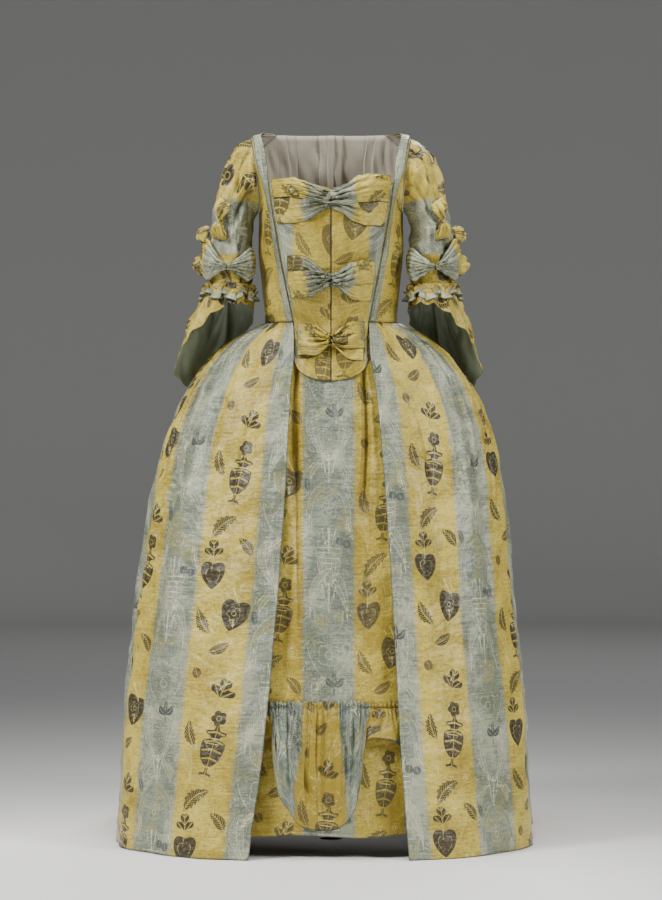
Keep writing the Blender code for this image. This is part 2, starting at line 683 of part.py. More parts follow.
def petticoat(u, v):
    """The whole ring, from the centre back round by the right, pleated at the waist but for its front."""
    height = mixed(PETTICOAT_HEM, PETTICOAT_TOP, v)
    angle = mixed(-math.pi, math.pi, u)
    from_front = abs(angle) / math.pi
    pleated = eased((from_front - PLAIN_FRONT) / PLAIN_FRONT_ENDS)
    near_waist = eased((v - PLEATED_FROM) / PLEATED_WITHIN)
    pleats = PETTICOAT_PLEAT_DEPTH * pleat_wave(u, PETTICOAT_PLEATS) * pleated * near_waist
    return form(angle, height, -LAYER_GAP - pleats)


def petticoat_flounce(u, v):
    """The gathered flounce: v is 1 at its headed top and 0 at its waved lower edge."""
    x = mixed(-FLOUNCE_HALF, FLOUNCE_HALF, u)
    hem = read(FLOUNCE_HEM, "x", abs(x), "height")
    roll = read(FLOUNCE_HEM, "x", abs(x), "roll")
    height = mixed(hem, FLOUNCE_TOP, v)
    at_seam = math.exp(-(((height - FLOUNCE_SEAM) / STITCHES_REACH) ** 2))
    kept = GATHERS_LEFT_BELOW + (1 - GATHERS_LEFT_BELOW) * eased(v * GATHERS_GROW)
    gathers = FLOUNCE_GATHER_DEPTH * pleat_wave(u, FLOUNCE_GATHERS) * kept
    fall = 1 - v
    stand = FLOUNCE_STAND * eased(fall * FLOUNCE_STAND_GROWS)
    out = LAYER_GAP * 0.5 + (gathers + stand + roll * fall) * (1 - STITCHES_HOLD * at_seam)
    return form_front(x, height, out)


# Bows -----------------------------------------------------------------------------------------------


def bow_ribbon(ribbon):
    """One ribbon of a bow on the closed front: pinched at the slit, fanning out to the front edges."""

    def drape(u, v):
        across, up = 2 * u - 1, 2 * v - 1
        spread = abs(across)
        end, tall = ribbon.left_end, ribbon.left_height
        if across < 0:
            end, tall = ribbon.right_end, ribbon.right_height
        tall = mixed(ribbon.pinch_height, tall, eased(spread * BOW_WIDENS))
        height = mixed(ribbon.pinch, end, eased(spread * BOW_SLANTS)) + up * tall / 2
        x = across * min(ribbon.half_span, front_edge_x(height) - BOW_EDGE_GAP)
        loop = math.sin(math.pi * clamped(spread * PUFF_REACH)) ** PUFF_ROUNDNESS
        puff = ribbon.puff * loop * (1 - PUFF_FLATTER * up**2)
        near_pinch = (1 - eased(spread * PLEATS_FADE)) * (PLEATS_AT_PINCH + eased(spread * PLEATS_GROW))
        pleats = BOW_PLEAT_DEPTH * pleat_wave(v, BOW_PLEATS) * near_pinch * min(1.0, ribbon.puff / FULL_PUFF)
        knot = KNOT_RISE * (1 - eased(spread * KNOT_FADES)) * min(1.0, ribbon.stand / FULL_STAND)
        point = form_front(abs(x), height, CLOTH + LAYER_GAP + ribbon.stand + knot + puff + pleats)
        point.x = x
        return point

    return drape


def sleeve(u, v):
    """Round the arm: u is 0 at the outer line and goes round by the front. v is 1 at the armhole."""
    along = 1 - v
    ring = SleeveRing(along, *(read(SLEEVE, "along", along, c) for c in SleeveRing._fields[1:]))
    angle = 2 * math.pi * u
    outer = at(ring.outer_x, ring.y, ring.outer_height)
    inner = at(ring.inner_x, ring.y, ring.inner_height)
    centre, reach = (outer + inner) / 2, (outer - inner) / 2
    towards_elbow = eased((along - PUCKERS_FROM) / PUCKERS_WITHIN)
    pucker = SLEEVE_PUCKER_DEPTH * pleat_wave(u, SLEEVE_PUCKERS) * towards_elbow
    swell = 1 + pucker / reach.length
    point = centre + reach * math.cos(angle) * swell
    point.y -= (ring.depth + pucker) * math.sin(angle)
    near_seam = eased(1 - along / SET_IN_WITHIN)
    return point.lerp(armhole(angle, SLEEVE_GAP), near_seam)


def hip_x(y, height):
    """How far out the gown is at that depth and height."""
    if height >= SKIRT_TOP:
        return 0.0
    half_width = gown_ring(math.pi / 2, height).x
    depth = abs(gown_ring(0.0 if y < 0 else math.pi, height).y)
    square = FRONT_SQUARENESS if y < 0 else BACK_SQUARENESS
    return half_width * (1 - clamped(abs(y) / depth) ** square) ** (1 / square)


def beside(x, limit):
    """x, kept softly beyond a limit."""
    return (x + limit + math.hypot(x - limit, HIP_SOFTNESS)) / 2 if x - limit < HIP_REACH else x


def elbow_flounce(u, v):
    """The deep flounce at the elbow: v is 1 at the sleeve's end and 0 at the scalloped edge."""
    angle = 360.0 * u
    fall = 1 - v
    length = read(ELBOW_FLOUNCE, "angle", angle, "length")
    flare = read(ELBOW_FLOUNCE, "angle", angle, "flare")
    length += SCALLOP_DEPTH * (abs(math.sin(math.pi * SCALLOPS * u)) - MIDDLE_OF_SCALLOP)
    end = sleeve(u, 0.0)
    centre = (sleeve(0.0, 0.0) + sleeve(0.5, 0.0)) / 2
    outward = Vector((end.x - centre.x, end.y - centre.y, 0.0)).normalized()
    flutes = ELBOW_FLUTE_DEPTH * pleat_wave(u, ELBOW_FLUTES) * eased(fall * ELBOW_FLUTES_GROW)
    opening = mixed(eased(fall * FLARE_GROWS), fall, STRAIGHT_FLARE)
    out = flare * opening + flutes * min(1.0, flare / FULL_FLARE + FLUTES_LEFT)
    point = end + outward * out
    point.z -= SEAM_GAP * 1.5 + length * fall
    point.x = beside(point.x, hip_x(point.y, point.z + ORIGIN_HEIGHT) + HIP_CLEARANCE)
    return point


def frill(u, v):
    """The small gathered frill over the top of the elbow flounce."""
    fall = 1 - v
    length = read(ELBOW_FLOUNCE, "angle", 360.0 * u, "length")
    row = 1 - fall * FRILL_FALL / length
    kept = FRILL_GATHERS_AT_TOP + (1 - FRILL_GATHERS_AT_TOP) * eased(fall * FRILL_GATHERS_GROW)
    gathers = FRILL_DEPTH * pleat_wave(u, FRILL_GATHERS) * kept
    point = elbow_flounce(u, row)
    outward = -normal_of(elbow_flounce, u, row, ring=True)
    outward.z = 0.0
    point = point + outward.normalized() * (LAYER_GAP + FRILL_STAND + gathers)
    return point


def sleeve_knot(knot):
    """A bow on the sleeve: pinched at its middle and puffed at its two loops."""

    def drape(u, v):
        across, up = 2 * u - 1, 2 * v - 1
        spread = abs(across)
        reach = mixed(KNOT_PINCH, 1.0, eased(spread * KNOT_WIDENS))
        turn, along = knot.angle + knot.half_turn * across, knot.along - knot.half_along * reach * up
        if knot.upright:
            turn, along = knot.angle + knot.half_turn * reach * up, knot.along + knot.half_along * across
        loop = math.sin(math.pi * clamped(spread * KNOT_PUFF_REACH)) ** KNOT_ROUNDNESS
        puff = knot.puff * loop * (1 - KNOT_FLATTER * up**2)
        round_arm, row = (turn / 360.0) % 1.0, 1 - along
        face = -normal_of(sleeve, round_arm, row, ring=True)
        return sleeve(round_arm, row) + face * (LAYER_GAP + puff)

    return drape


def turned(drape):
    """The same cloth with its columns the other way round, which turns its grid over."""
    return lambda u, v: drape(1 - u, v)


clear_scene()
collection = bpy.data.collections.new("robe_a_la_francaise")
bpy.context.scene.collection.children.link(collection)

silk = new_material("striped_silk", *STRIPED_SILK)
blue_silk = new_material("blue_silk", *BLUE_SILK)
bow_silk = new_material("bow_silk", *BOW_SILK)

petticoat_rows = [clamped((level - PETTICOAT_HEM) / (PETTICOAT_TOP - PETTICOAT_HEM)) for level in LEVELS]
cut("petticoat", petticoat, PETTICOAT_COLUMNS, petticoat_rows, silk, out=-1.0, ring=True)
flounce_columns = FLOUNCE_GATHERS * FLOUNCE_COLUMNS_A_GATHER
cut("petticoat_flounce", petticoat_flounce, flounce_columns, FLOUNCE_ROWS, silk, thickness=FINE_CLOTH)
sack_columns = 2 * (len(SACK_FOLDS) - 1)
lower_rows = [WAIST_AT + (1 - WAIST_AT) * (1 - level / WAIST) for level in reversed(LEVELS)]
sack_rows = [1 - along for along in reversed(SACK_UPPER_ROWS + lower_rows)]
cut("gown_sack_back", turned(sack), sack_columns, sack_rows, silk)

skirt_rows = [level / SKIRT_TOP for level in LEVELS]
plain = [PLEATS_FROM * n / PLAIN_COLUMNS for n in range(PLAIN_COLUMNS)]
folds = [mixed(PLEATS_FROM, PLEATS_TO, n / (2 * WAIST_PLEATS)) for n in range(2 * WAIST_PLEATS + 1)]
skirt_columns = plain + folds + [1.0]
compere_rows = [TAB_SHARE * n / TAB_ROWS for n in range(TAB_ROWS)]
compere_rows += [mixed(TAB_SHARE, 1.0, n / BODY_ROWS) for n in range(BODY_ROWS + 1)]
frill_columns = FRILL_GATHERS * FRILL_COLUMNS_A_GATHER

for word, side in SIDES.items():
    cut(f"gown_skirt_{word}", gown_skirt, skirt_columns, skirt_rows, silk, side)
    cut(f"bodice_front_{word}", bodice_front, BODICE_COLUMNS, BODICE_ROWS, silk, side)
    cut(f"bodice_side_back_{word}", bodice_side_back, SIDE_BACK_COLUMNS, SIDE_BACK_ROWS, silk, side)
    cut(f"robing_{word}", robing, ROBING_COLUMNS, ROBING_ROWS, blue_silk, side, FINE_CLOTH)
    cut(f"compere_{word}", compere, COMPERE_COLUMNS, compere_rows, silk, side)
    sleeve_folds = (turned(sleeve), SLEEVE_COLUMNS, SLEEVE_ROWS)
    cut(f"sleeve_{word}", *sleeve_folds, silk, side, CLOTH, -1.0, ring=True)
    flounce = (turned(elbow_flounce), ELBOW_COLUMNS, ELBOW_ROWS)
    cut(f"elbow_flounce_{word}", *flounce, silk, side, FINE_CLOTH, -1.0, ring=True)
    cut(f"elbow_frill_{word}", turned(frill), frill_columns, FRILL_ROWS, silk, side, FINE_CLOTH, ring=True)
    for knot in SLEEVE_KNOTS:
        drape = turned(sleeve_knot(knot))
        cut(f"{knot.name}_{word}", drape, KNOT_COLUMNS, KNOT_ROWS, bow_silk, side, FINE_CLOTH)

for ribbon in RIBBONS:
    cut(ribbon.name, bow_ribbon(ribbon), BOW_COLUMNS, BOW_ROWS, bow_silk, thickness=FINE_CLOTH)
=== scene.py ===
# %% [markdown]
# # A robe a la francaise in striped silk
# The gown is open in front. It hangs from stacked box pleats at the back of the neck, over a petticoat of
# the same silk, and its front is closed by two stiff halves that carry three bows. This lesson dresses the
# gown's plain solids in thin cloth. Each sheet starts as a flat grid, as a dressmaker's piece does: a
# function drapes the grid, a short table adds its creases, and the grid's own lengths say how the stripes
# run.

# %% Load the solids
import math
from collections import namedtuple

import bpy
import numpy as np
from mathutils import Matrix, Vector


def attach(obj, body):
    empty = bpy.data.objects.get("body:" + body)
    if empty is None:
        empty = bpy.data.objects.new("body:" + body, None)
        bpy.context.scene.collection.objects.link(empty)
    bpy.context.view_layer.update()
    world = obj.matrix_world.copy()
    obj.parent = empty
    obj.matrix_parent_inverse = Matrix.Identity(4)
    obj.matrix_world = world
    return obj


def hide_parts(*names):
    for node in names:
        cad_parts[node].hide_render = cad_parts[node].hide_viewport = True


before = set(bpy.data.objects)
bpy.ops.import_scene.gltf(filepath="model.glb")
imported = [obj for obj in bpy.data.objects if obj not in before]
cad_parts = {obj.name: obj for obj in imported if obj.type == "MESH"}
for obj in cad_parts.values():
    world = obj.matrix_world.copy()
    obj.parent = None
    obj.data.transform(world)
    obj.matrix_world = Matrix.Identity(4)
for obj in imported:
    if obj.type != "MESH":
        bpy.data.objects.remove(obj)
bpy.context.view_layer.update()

# %% [markdown]
# ## Curves through short tables
# A body is round without being a circle, so its sizes come from tables, with a row for each height. A
# straight line between rows would show as a ridge. A cubic that keeps each row's slope between its
# neighbours' never overshoots, so a waist stays the narrowest place. It is written for whole arrays,
# because a sheet has thousands of points.

# %% Curves and mixing
ORIGIN_HEIGHT, MM, TURN, DEGREES, TINY = 1.250, 1000, 2 * math.pi, 360.0, 1e-12
LEFT, RIGHT = 1.0, -1.0
SIDES = {"left": LEFT, "right": RIGHT}


def rows_of(kind, rows):
    """A table: each row's values by name."""
    return [kind(*row) for row in rows]


def eased(value):
    value = np.clip(value, 0.0, 1.0)
    return value * value * (3 - 2 * value)


def mixed(a, b, share):
    return a + (b - a) * share


def blended(a, b, share):
    """Between two arrays of points, with a share for each point."""
    return a + (b - a) * np.asarray(share)[..., None]


def curve(table, key, column):
    """A smooth curve through one column of a table, as a function of an array."""
    keys = np.array([getattr(row, key) for row in table], float)
    values = np.array([getattr(row, column) for row in table], float)
    widths = np.diff(keys)
    slopes = np.diff(values) / widths
    tangents = np.concatenate([slopes[:1], np.zeros(len(keys) - 2), slopes[-1:]])
    before, after = slopes[:-1], slopes[1:]
    alike = before * after > 0
    tangents[1:-1][alike] = 2 * before[alike] * after[alike] / (before[alike] + after[alike])

    def read(at):
        at = np.clip(at, keys[0], keys[-1])
        i = np.clip(np.searchsorted(keys, at) - 1, 0, len(keys) - 2)
        t = (at - keys[i]) / widths[i]
        return (
            values[i] * (2 * t**3 - 3 * t**2 + 1)
            + tangents[i] * widths[i] * (t**3 - 2 * t**2 + t)
            + values[i + 1] * (3 * t**2 - 2 * t**3)
            + tangents[i + 1] * widths[i] * (t**3 - t**2)
        )

    return read


def curves(table, key, *columns):
    return [curve(table, key, column) for column in columns]


def at(x, y, height):
    """Points from distances sideways and in depth and heights above the floor."""
    return np.stack(np.broadcast_arrays(x, y, np.asarray(height) - ORIGIN_HEIGHT), axis=-1).astype(float)


print(f"halfway along an ease: {eased(0.5):.2f}")

# %% [markdown]
# ## The form and the gown's ring
# A row of points round the body is a superellipse: nearly an ellipse in front, and squarer at the back,
# where the sack hangs flat. Below the waist the same ring is the petticoat over its hip hoops, and the gown
# hangs a little outside it. Both come from one function, so no layer can cut another.

# %% The form
WAIST = 0.915
CLOTH, FINE_CLOTH = 0.0015, 0.0012
SEAM_GAP, LAYER_GAP = 0.0003, 0.0004
Ring = namedtuple("Ring", "height half_width front back")
FORM = rows_of(Ring, [
    (0.000, 0.352, 0.270, 0.345),
    (0.200, 0.341, 0.245, 0.305),
    (0.400, 0.323, 0.212, 0.262),
    (0.600, 0.302, 0.172, 0.215),
    (0.700, 0.283, 0.150, 0.188),
    (0.760, 0.260, 0.135, 0.168),
    (0.800, 0.240, 0.124, 0.152),
    (0.836, 0.216, 0.113, 0.134),
    (0.868, 0.187, 0.102, 0.112),
    (0.895, 0.150, 0.092, 0.093),
    (0.915, 0.116, 0.087, 0.080),
    (0.980, 0.1215, 0.103, 0.083),
    (1.050, 0.1290, 0.117, 0.085),
    (1.100, 0.1300, 0.120, 0.085),
    (1.160, 0.1340, 0.112, 0.082),
    (1.200, 0.1400, 0.098, 0.074),
    (1.250, 0.1430, 0.050, 0.060),
])
FRONT_SQUARENESS, BACK_SQUARENESS = 2.2, 3.0
Clearance = namedtuple("Clearance", "height side front back")
GOWN_OVER_PETTICOAT = rows_of(Clearance, [
    (0.000, 0.015, 0.030, 0.040),
    (0.250, 0.013, 0.024, 0.034),
    (0.500, 0.011, 0.016, 0.026),
    (0.700, 0.009, 0.010, 0.018),
    (0.830, 0.007, 0.007, 0.010),
    (0.890, 0.004, 0.0045, 0.005),
    (0.915, 0.0005, 0.0005, 0.0005),
])
form_curves = curves(FORM, "height", "half_width", "front", "back")
clearance_curves = curves(GOWN_OVER_PETTICOAT, "height", "side", "front", "back")


def power(value, exponent):
    return np.copysign(np.abs(value) ** exponent, value)


def ring_point(half_width, front, back, angle, height):
    """Angle 0 is the centre front, and a quarter turn the left side."""
    facing_front = np.cos(angle) >= 0
    squareness = np.where(facing_front, FRONT_SQUARENESS, BACK_SQUARENESS)
    depth = np.where(facing_front, front, back)
    x = half_width * power(np.sin(angle), 2 / squareness)
    return at(x, -depth * power(np.cos(angle), 2 / squareness), height)


def form(angle, height, out=0.0):
    return ring_point(*(size(height) + out for size in form_curves), angle, height)


def gown_sizes(height):
    """Half width, front and back of the gown's own ring."""
    hanging = np.asarray(height) < WAIST
    pairs = zip(form_curves, clearance_curves)
    return [size(height) + np.where(hanging, clear(height), 0.0) for size, clear in pairs]


def gown_ring(angle, height, out=0.0):
    return ring_point(*(size + out for size in gown_sizes(height)), angle, height)


def angle_at(x, half_width):
    return np.arcsin(np.clip(np.abs(x) / half_width, 0, 1) ** (FRONT_SQUARENESS / 2))


def form_front(x, height, out=0.0):
    """The point of the form's front at that distance from the centre."""
    points = form(angle_at(x, form_curves[0](height) + out), height, out)
    points[..., 0] = x
    return points


print(f"the form is {2 * MM * form_curves[0](WAIST):.0f} mm wide at the waist")

# %% [markdown]
# ## Edges that pieces share
# The gown's front edge, the neck, the armhole and the side back seam each belong to two or three pieces.
# Each is one table or one formula here, so that neighbours meet along it whatever their grids are.

# %% Shared edges
Edge = namedtuple("Edge", "height x")
FRONT_EDGE = rows_of(Edge, [
    (0.000, 0.135),
    (0.183, 0.116),
    (0.401, 0.100),
    (0.604, 0.0866),
    (0.794, 0.0735),
    (0.870, 0.0655),
    (0.915, 0.0660),
    (0.942, 0.0710),
    (1.032, 0.0880),
    (1.081, 0.0960),
    (1.124, 0.1030),
    (1.160, 0.1090),
])
NECK_START = 1.160
Point = namedtuple("Point", "along x y height")
NECK_EDGE = rows_of(Point, [
    (0.00, 0.1090, -0.0705, 1.160),
    (0.20, 0.1125, -0.0620, 1.187),
    (0.45, 0.1190, -0.0430, 1.220),
    (0.68, 0.1245, -0.0140, 1.244),
    (0.85, 0.1180, 0.0220, 1.252),
    (1.00, 0.0980, 0.0550, 1.2555),
])
Seam = namedtuple("Seam", "height angle")
SIDE_BACK_SEAM = rows_of(Seam, [
    (0.000, 100.0),
    (0.500, 104.0),
    (0.700, 110.0),
    (0.850, 118.0),
    (0.915, 122.0),
    (0.980, 119.0),
    (1.050, 115.0),
    (1.100, 108.0),
    (1.133, 104.0),
])
SIDE_SEAM_TOP = 1.133
ARMHOLE_CENTRE = (0.1345, -0.004, 1.178)
ARMHOLE_LEAN, ARMHOLE_TUCK = 0.008, 0.004
ARMHOLE_DEPTH, ARMHOLE_RISE = 0.050, 0.064
ARMPIT, SIDE_SEAM_ANGLE, SHOULDER_SEAM_ANGLE = (math.radians(degrees) for degrees in (180, 225, -50))

front_edge_x = curve(FRONT_EDGE, "height", "x")
neck_curves = curves(NECK_EDGE, "along", "x", "y", "height")
side_back_degrees = curve(SIDE_BACK_SEAM, "height", "angle")


def armhole(angle, out=0.0):
    """Angle 0 is the armhole's top, a quarter turn its front, and a half turn the armpit."""
    c, s = np.cos(angle), np.sin(angle)
    x = ARMHOLE_CENTRE[0] + ARMHOLE_LEAN * c - ARMHOLE_TUCK * np.abs(s) + out
    return at(x, ARMHOLE_CENTRE[1] - ARMHOLE_DEPTH * s, ARMHOLE_CENTRE[2] + ARMHOLE_RISE * c)


def as_arrays(u, v):
    return np.broadcast_arrays(np.asarray(u, float), np.asarray(v, float))


def heights(points):
    return points[..., 2] + ORIGIN_HEIGHT


print(f"the front edges are {2 * MM * front_edge_x(0.0):.0f} mm apart at the hem")

# %% [markdown]
# ## Creases
# Silk this stiff folds in long, narrow, uneven lines. They could come from a cloth simulation, but a
# simulation forgets where a dressmaker's hand left them. So each piece has a table of its main creases in
# its own flat metres: where each starts and ends, how it bends, how wide it is and how far it stands out
# (or sinks in). Between them lie faint ripples, from a few waves with a fixed seed.

# %% Creases and ripples
Crease = namedtuple("Crease", "s0 t0 s1 t1 bend width depth")
Ripple = namedtuple("Ripple", "size depth seed")
ENDS_TAPER = 3.0
WAVES, WAVE_LENGTHS, WAVE_SWAY, SWAY_LENGTH = 7, (0.6, 1.8), 0.5, 3
OTHER_DEPTHS, OTHER_BENDS = (0.7, 1.2), (0.5, 1.2)


def creased(s, t, creases):
    """How far the creases lift the cloth at its flat places."""
    lift = np.zeros_like(s)
    for crease in creases:
        run, rise = crease.s1 - crease.s0, crease.t1 - crease.t0
        length = math.hypot(run, rise)
        along = ((s - crease.s0) * run + (t - crease.t0) * rise) / length**2
        aside = ((t - crease.t0) * run - (s - crease.s0) * rise) / length
        aside = aside - crease.bend * 4 * along * (1 - along)
        ends = eased(along * ENDS_TAPER) * eased((1 - along) * ENDS_TAPER)
        lift += crease.depth * np.exp(1 - np.sqrt(1 + (2 * aside / crease.width) ** 2)) * ends
    return lift


def rippled(s, t, size, depth, seed):
    """A few long waves, the same for the same seed."""
    random = np.random.default_rng(seed)
    lift = np.zeros_like(s)
    for _ in range(WAVES):
        turn, phase = random.uniform(0, math.pi), random.uniform(0, TURN)
        length = size * random.uniform(*WAVE_LENGTHS)
        sway = WAVE_SWAY * np.sin(TURN * t / (SWAY_LENGTH * size) + phase)
        lift += np.sin(TURN * (s * math.cos(turn) + t * math.sin(turn)) / length + phase + sway)
    return depth * lift / WAVES**0.5


def varied(creases, seed, shift=0.008):
    """The same kind of creases for the other side, each a little elsewhere."""
    random = np.random.default_rng(seed)
    moved = []
    for crease in creases:
        ds, dt = random.normal(0, shift, 2)
        depth = crease.depth * random.uniform(*OTHER_DEPTHS)
        place = (crease.s0 + ds, crease.t0 + dt, crease.s1 + ds, crease.t1 + dt)
        moved.append(Crease(*place, -crease.bend * random.uniform(*OTHER_BENDS), crease.width, depth))
    return moved


print(f"{WAVES} waves to a ripple")

# %% [markdown]
# ## A sheet of cloth
# One function makes every sheet. It drapes the grid, lifts its creases along the cloth's own normals, and
# holds them flat where the sheet is sewn to another. The UV map isn't the usual square: it is the weave
# itself, in metres, so the stripes and figures keep their size on every piece. Then Solidify gives the silk
# a thickness with the lining's material inside.

# %% The cloth builder
Grid = namedtuple("Grid", "columns rows")
Weave = namedtuple("Weave", "across along turned anchor eased_in share", defaults=(False, None, 0.0, 1.0))
THINNER, FACES_TO_A_SQUARE = 0.6, 4
FAR, HOLLOW_REACH = 1.0, 0.009
LEAN, LEAN_FROM, LEAN_OVER, LEAN_ASIDE = 0.011, -0.42, 0.50, 0.32
MADE = {}


def lengths(points, axis):
    """The length of cloth from the first point to each, one way of the grid."""
    steps = np.linalg.norm(np.diff(points, axis=axis), axis=-1)
    start = np.zeros_like(np.take(steps, [0], axis=axis))
    return np.cumsum(np.concatenate([start, steps], axis=axis), axis=axis)


def facing(points, ring):
    across, up = np.gradient(points, axis=1), np.gradient(points, axis=0)
    if ring:
        body = points[:, :-1]
        round_it = np.roll(body, -1, axis=1) - np.roll(body, 1, axis=1)
        across = np.concatenate([round_it, round_it[:, :1]], axis=1)
    normal = np.cross(across, up)
    return normal / np.maximum(np.linalg.norm(normal, axis=-1, keepdims=True), TINY)


def from_edges(s, t):
    return {"left": s, "right": s[:, -1:] - s, "bottom": t, "top": t[-1:] - t}


def sewn_down(s, t, sewn):
    """0 at each sewn edge, rising to 1 within the length given for it."""
    free = np.ones_like(s)
    for edge, reach in sewn.items():
        free *= eased(from_edges(s, t)[edge] / reach)
    return free


def leant(points):
    """The hoops have slipped a little to the wearer's right, so the sides of the skirts hang off centre."""
    low = eased((LEAN_FROM - points[..., 2]) / LEAN_OVER)
    aside = eased(np.abs(points[..., 0]) / LEAN_ASIDE)
    return points[..., 0] - LEAN * low * aside


print(f"the skirts hang {MM * LEAN:.0f} mm off centre at their hems")

# %% Hollows and maps
# The silk darkens each sheet by these hollows: painted shade in its folds.
def hollows(points, ring, normals):
    """How deep each place lies below the places around it, in metres. It is below 0 on a ridge."""
    around = np.zeros_like(points)
    for axis in (0, 1):
        step = np.linalg.norm(np.diff(points, axis=axis), axis=-1).mean()
        count = max(1, round(HOLLOW_REACH / step))
        last = points.shape[axis] - 1
        for way in (-count, count):
            index = np.arange(points.shape[axis]) + way
            index = index % last if ring and axis == 1 else np.clip(index, 0, last)
            around += np.take(points, index, axis=axis) / 4
    return ((around - points) * normals).sum(axis=-1)


def squares(grid):
    """The four corners of each square of a grid, in turn."""
    return [grid[:-1, :-1], grid[:-1, 1:], grid[1:, 1:], grid[1:, :-1]]


def add_map(mesh, name, corner, x, y):
    values = np.stack([x, y], axis=-1).reshape(-1, 2)
    layer = mesh.uv_layers.new(name=name)
    layer.uv.foreach_set("vector", values[corner.reshape(-1)].astype(np.float32).ravel())


def add_object(name, data):
    made = bpy.data.objects.new(name, data)
    bpy.context.scene.collection.objects.link(made)
    return made


print(f"hollows are measured over {MM * HOLLOW_REACH:.0f} mm")

# %% One sheet
def cloth(
    node, drape, grid, face, back, side=LEFT, ring=False, out=1.0, flip=False, wall=CLOTH,
    weave=Weave(0.0, 0.0), creases=(), ripple=None, sewn=None, hems=(),
):
    """One sheet in place of a solid. out is the side that its wall lies on, flip turns its face over, and
    hems names its hemmed edges, which the silk marks with stitches and a thin painted shadow line. A weave
    with an anchor is measured along each row from there, so its stripes stay straight; without one they
    follow the columns."""
    even = isinstance(grid.columns, int)
    across = np.linspace(0, 1, grid.columns + 1) if even else grid.columns
    u, v = np.meshgrid(across, np.linspace(0, 1, grid.rows + 1))
    points = drape(u, v)
    turn = -1.0 if flip else 1.0
    s, t = lengths(points, 1), lengths(points, 0)
    s = np.broadcast_to(s[np.argmax(s[:, -1])], s.shape)
    woven_s = s
    if weave.anchor is not None:
        own = lengths(points, 1)
        woven_s = (own - own[:, [round(weave.anchor * (own.shape[1] - 1))]]) * weave.share
    lift = creased(s, t, creases)
    if ripple:
        lift = lift + rippled(s, t, *ripple)
    lift = lift * sewn_down(s, t, sewn or {}) + out * wall * (1 - THINNER) / 2
    points = points + facing(points, ring) * turn * lift[..., None]
    if ring:
        points[:, -1] = points[:, 0]
    # How deep each place lies in a fold, for the silk's painted shade in hollows.
    hollow = hollows(points, ring, facing(points, ring) * turn)
    points[..., 0] *= side
    points[..., 0] = leant(points)

    index = np.arange(points.shape[0] * points.shape[1]).reshape(points.shape[:2])
    corner = np.stack(squares(index), axis=-1).reshape(-1, 4)
    if (side == RIGHT) != flip:
        corner = corner[:, ::-1]
    vertex = index.copy()
    flat_points = points.reshape(-1, 3)
    if ring:
        vertex = np.arange(points.shape[0] * (points.shape[1] - 1)).reshape(points.shape[0], -1)
        vertex = np.concatenate([vertex, vertex[:, :1]], axis=1)
        flat_points = points[:, :-1].reshape(-1, 3)
    mesh = bpy.data.meshes.new(node)
    mesh.from_pydata(flat_points, [], vertex.reshape(-1)[corner])
    mesh.shade_smooth()
    woven_t = t - weave.eased_in * eased(t / t.max() * 2 - 1)
    ways = (woven_t, woven_s) if weave.turned else (woven_s, woven_t)
    add_map(mesh, "weave", corner, side * (weave.across + ways[0]), weave.along + ways[1])
    # The hem map holds the distance to the hemmed edges, for their stitches and a painted shadow line, and
    # each place's hollow depth, for painted shade in folds.
    to_hem = np.full_like(t, FAR)
    for edge in hems:
        to_hem = np.minimum(to_hem, from_edges(s, t)[edge])
    add_map(mesh, "hem", corner, to_hem, hollow)
    for material in (face, back):
        mesh.materials.append(material)
    piece = add_object(f"{node}_cloth", mesh)
    solid = piece.modifiers.new("thickness", "SOLIDIFY")
    solid.thickness, solid.offset = wall * THINNER, out
    solid.material_offset = 1
    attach(piece, "root")
    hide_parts(node)
    quads = squares(points)
    longest = lengths(points, 1)[:, -1].max(), lengths(points, 0)[-1].max()
    MADE[piece.name] = FACES_TO_A_SQUARE * len(corner)


# %% [markdown]
# ## Formulas made of nodes
# The silk's pattern is drawn by mathematics: a leaf is wherever the distance from its rib is less than its
# half width there. In the node editor each plus and minus is a node, which soon hides the formula. So a
# socket is wrapped in a small class whose +, -, * and < add those nodes, and the shader can then be read as
# the sums that it is.

# %% Wires
def math_method(operation):
    return lambda wire, *others: wire.then(operation, *others)


class Wire:
    """A socket that takes part in a formula. Each operation adds one Math node to its tree."""

    def __init__(self, tree, socket):
        self.tree, self.socket = tree, socket

    def then(self, operation, *others):
        node = self.tree.nodes.new("ShaderNodeMath")
        node.operation = operation
        for socket, value in zip(node.inputs, (self, *others)):
            join(self.tree, value, socket)
        return Wire(self.tree, node.outputs[0])

    __add__, __sub__, __mul__, __truediv__ = map(math_method, ("ADD", "SUBTRACT", "MULTIPLY", "DIVIDE"))
    __lt__, __gt__, __abs__ = map(math_method, ("LESS_THAN", "GREATER_THAN", "ABSOLUTE"))
    part, floor, either, both = map(math_method, ("FRACT", "FLOOR", "MAXIMUM", "MINIMUM"))

    def inverse(self):
        return (self * -1.0) + 1.0


print("a wire knows 11 operations of one node each")

# %% Nodes by name
def join(tree, value, socket):
    if isinstance(value, Wire):
        tree.links.new(value.socket, socket)
    else:
        socket.default_value = value


def node_of(tree, kind, given, out=0, **settings):
    """A shader node with its settings and its inputs, by name. Gives back one output."""
    node = tree.nodes.new(f"ShaderNode{kind}")
    for name, value in settings.items():
        setattr(node, name, value)
    for name, value in given.items():
        join(tree, value, node.inputs[name])
    return Wire(tree, node.outputs[out])


def split(vector):
    node = vector.tree.nodes.new("ShaderNodeSeparateXYZ")
    join(vector.tree, vector, node.inputs[0])
    return [Wire(vector.tree, socket) for socket in node.outputs]


def joined(x, y):
    return node_of(x.tree, "CombineXYZ", {"X": x, "Y": y})


def noise(vector, scale, detail=2.0, roughness=0.5):
    given = {"Vector": vector, "Scale": scale, "Detail": detail, "Roughness": roughness}
    return node_of(vector.tree, "TexNoise", given, noise_dimensions="2D")


def ramp(value, low, high, to_low=0.0, to_high=1.0):
    given = {"Value": value, "From Min": low, "From Max": high, "To Min": to_low, "To Max": to_high}
    return node_of(value.tree, "MapRange", given, interpolation_type="SMOOTHSTEP")


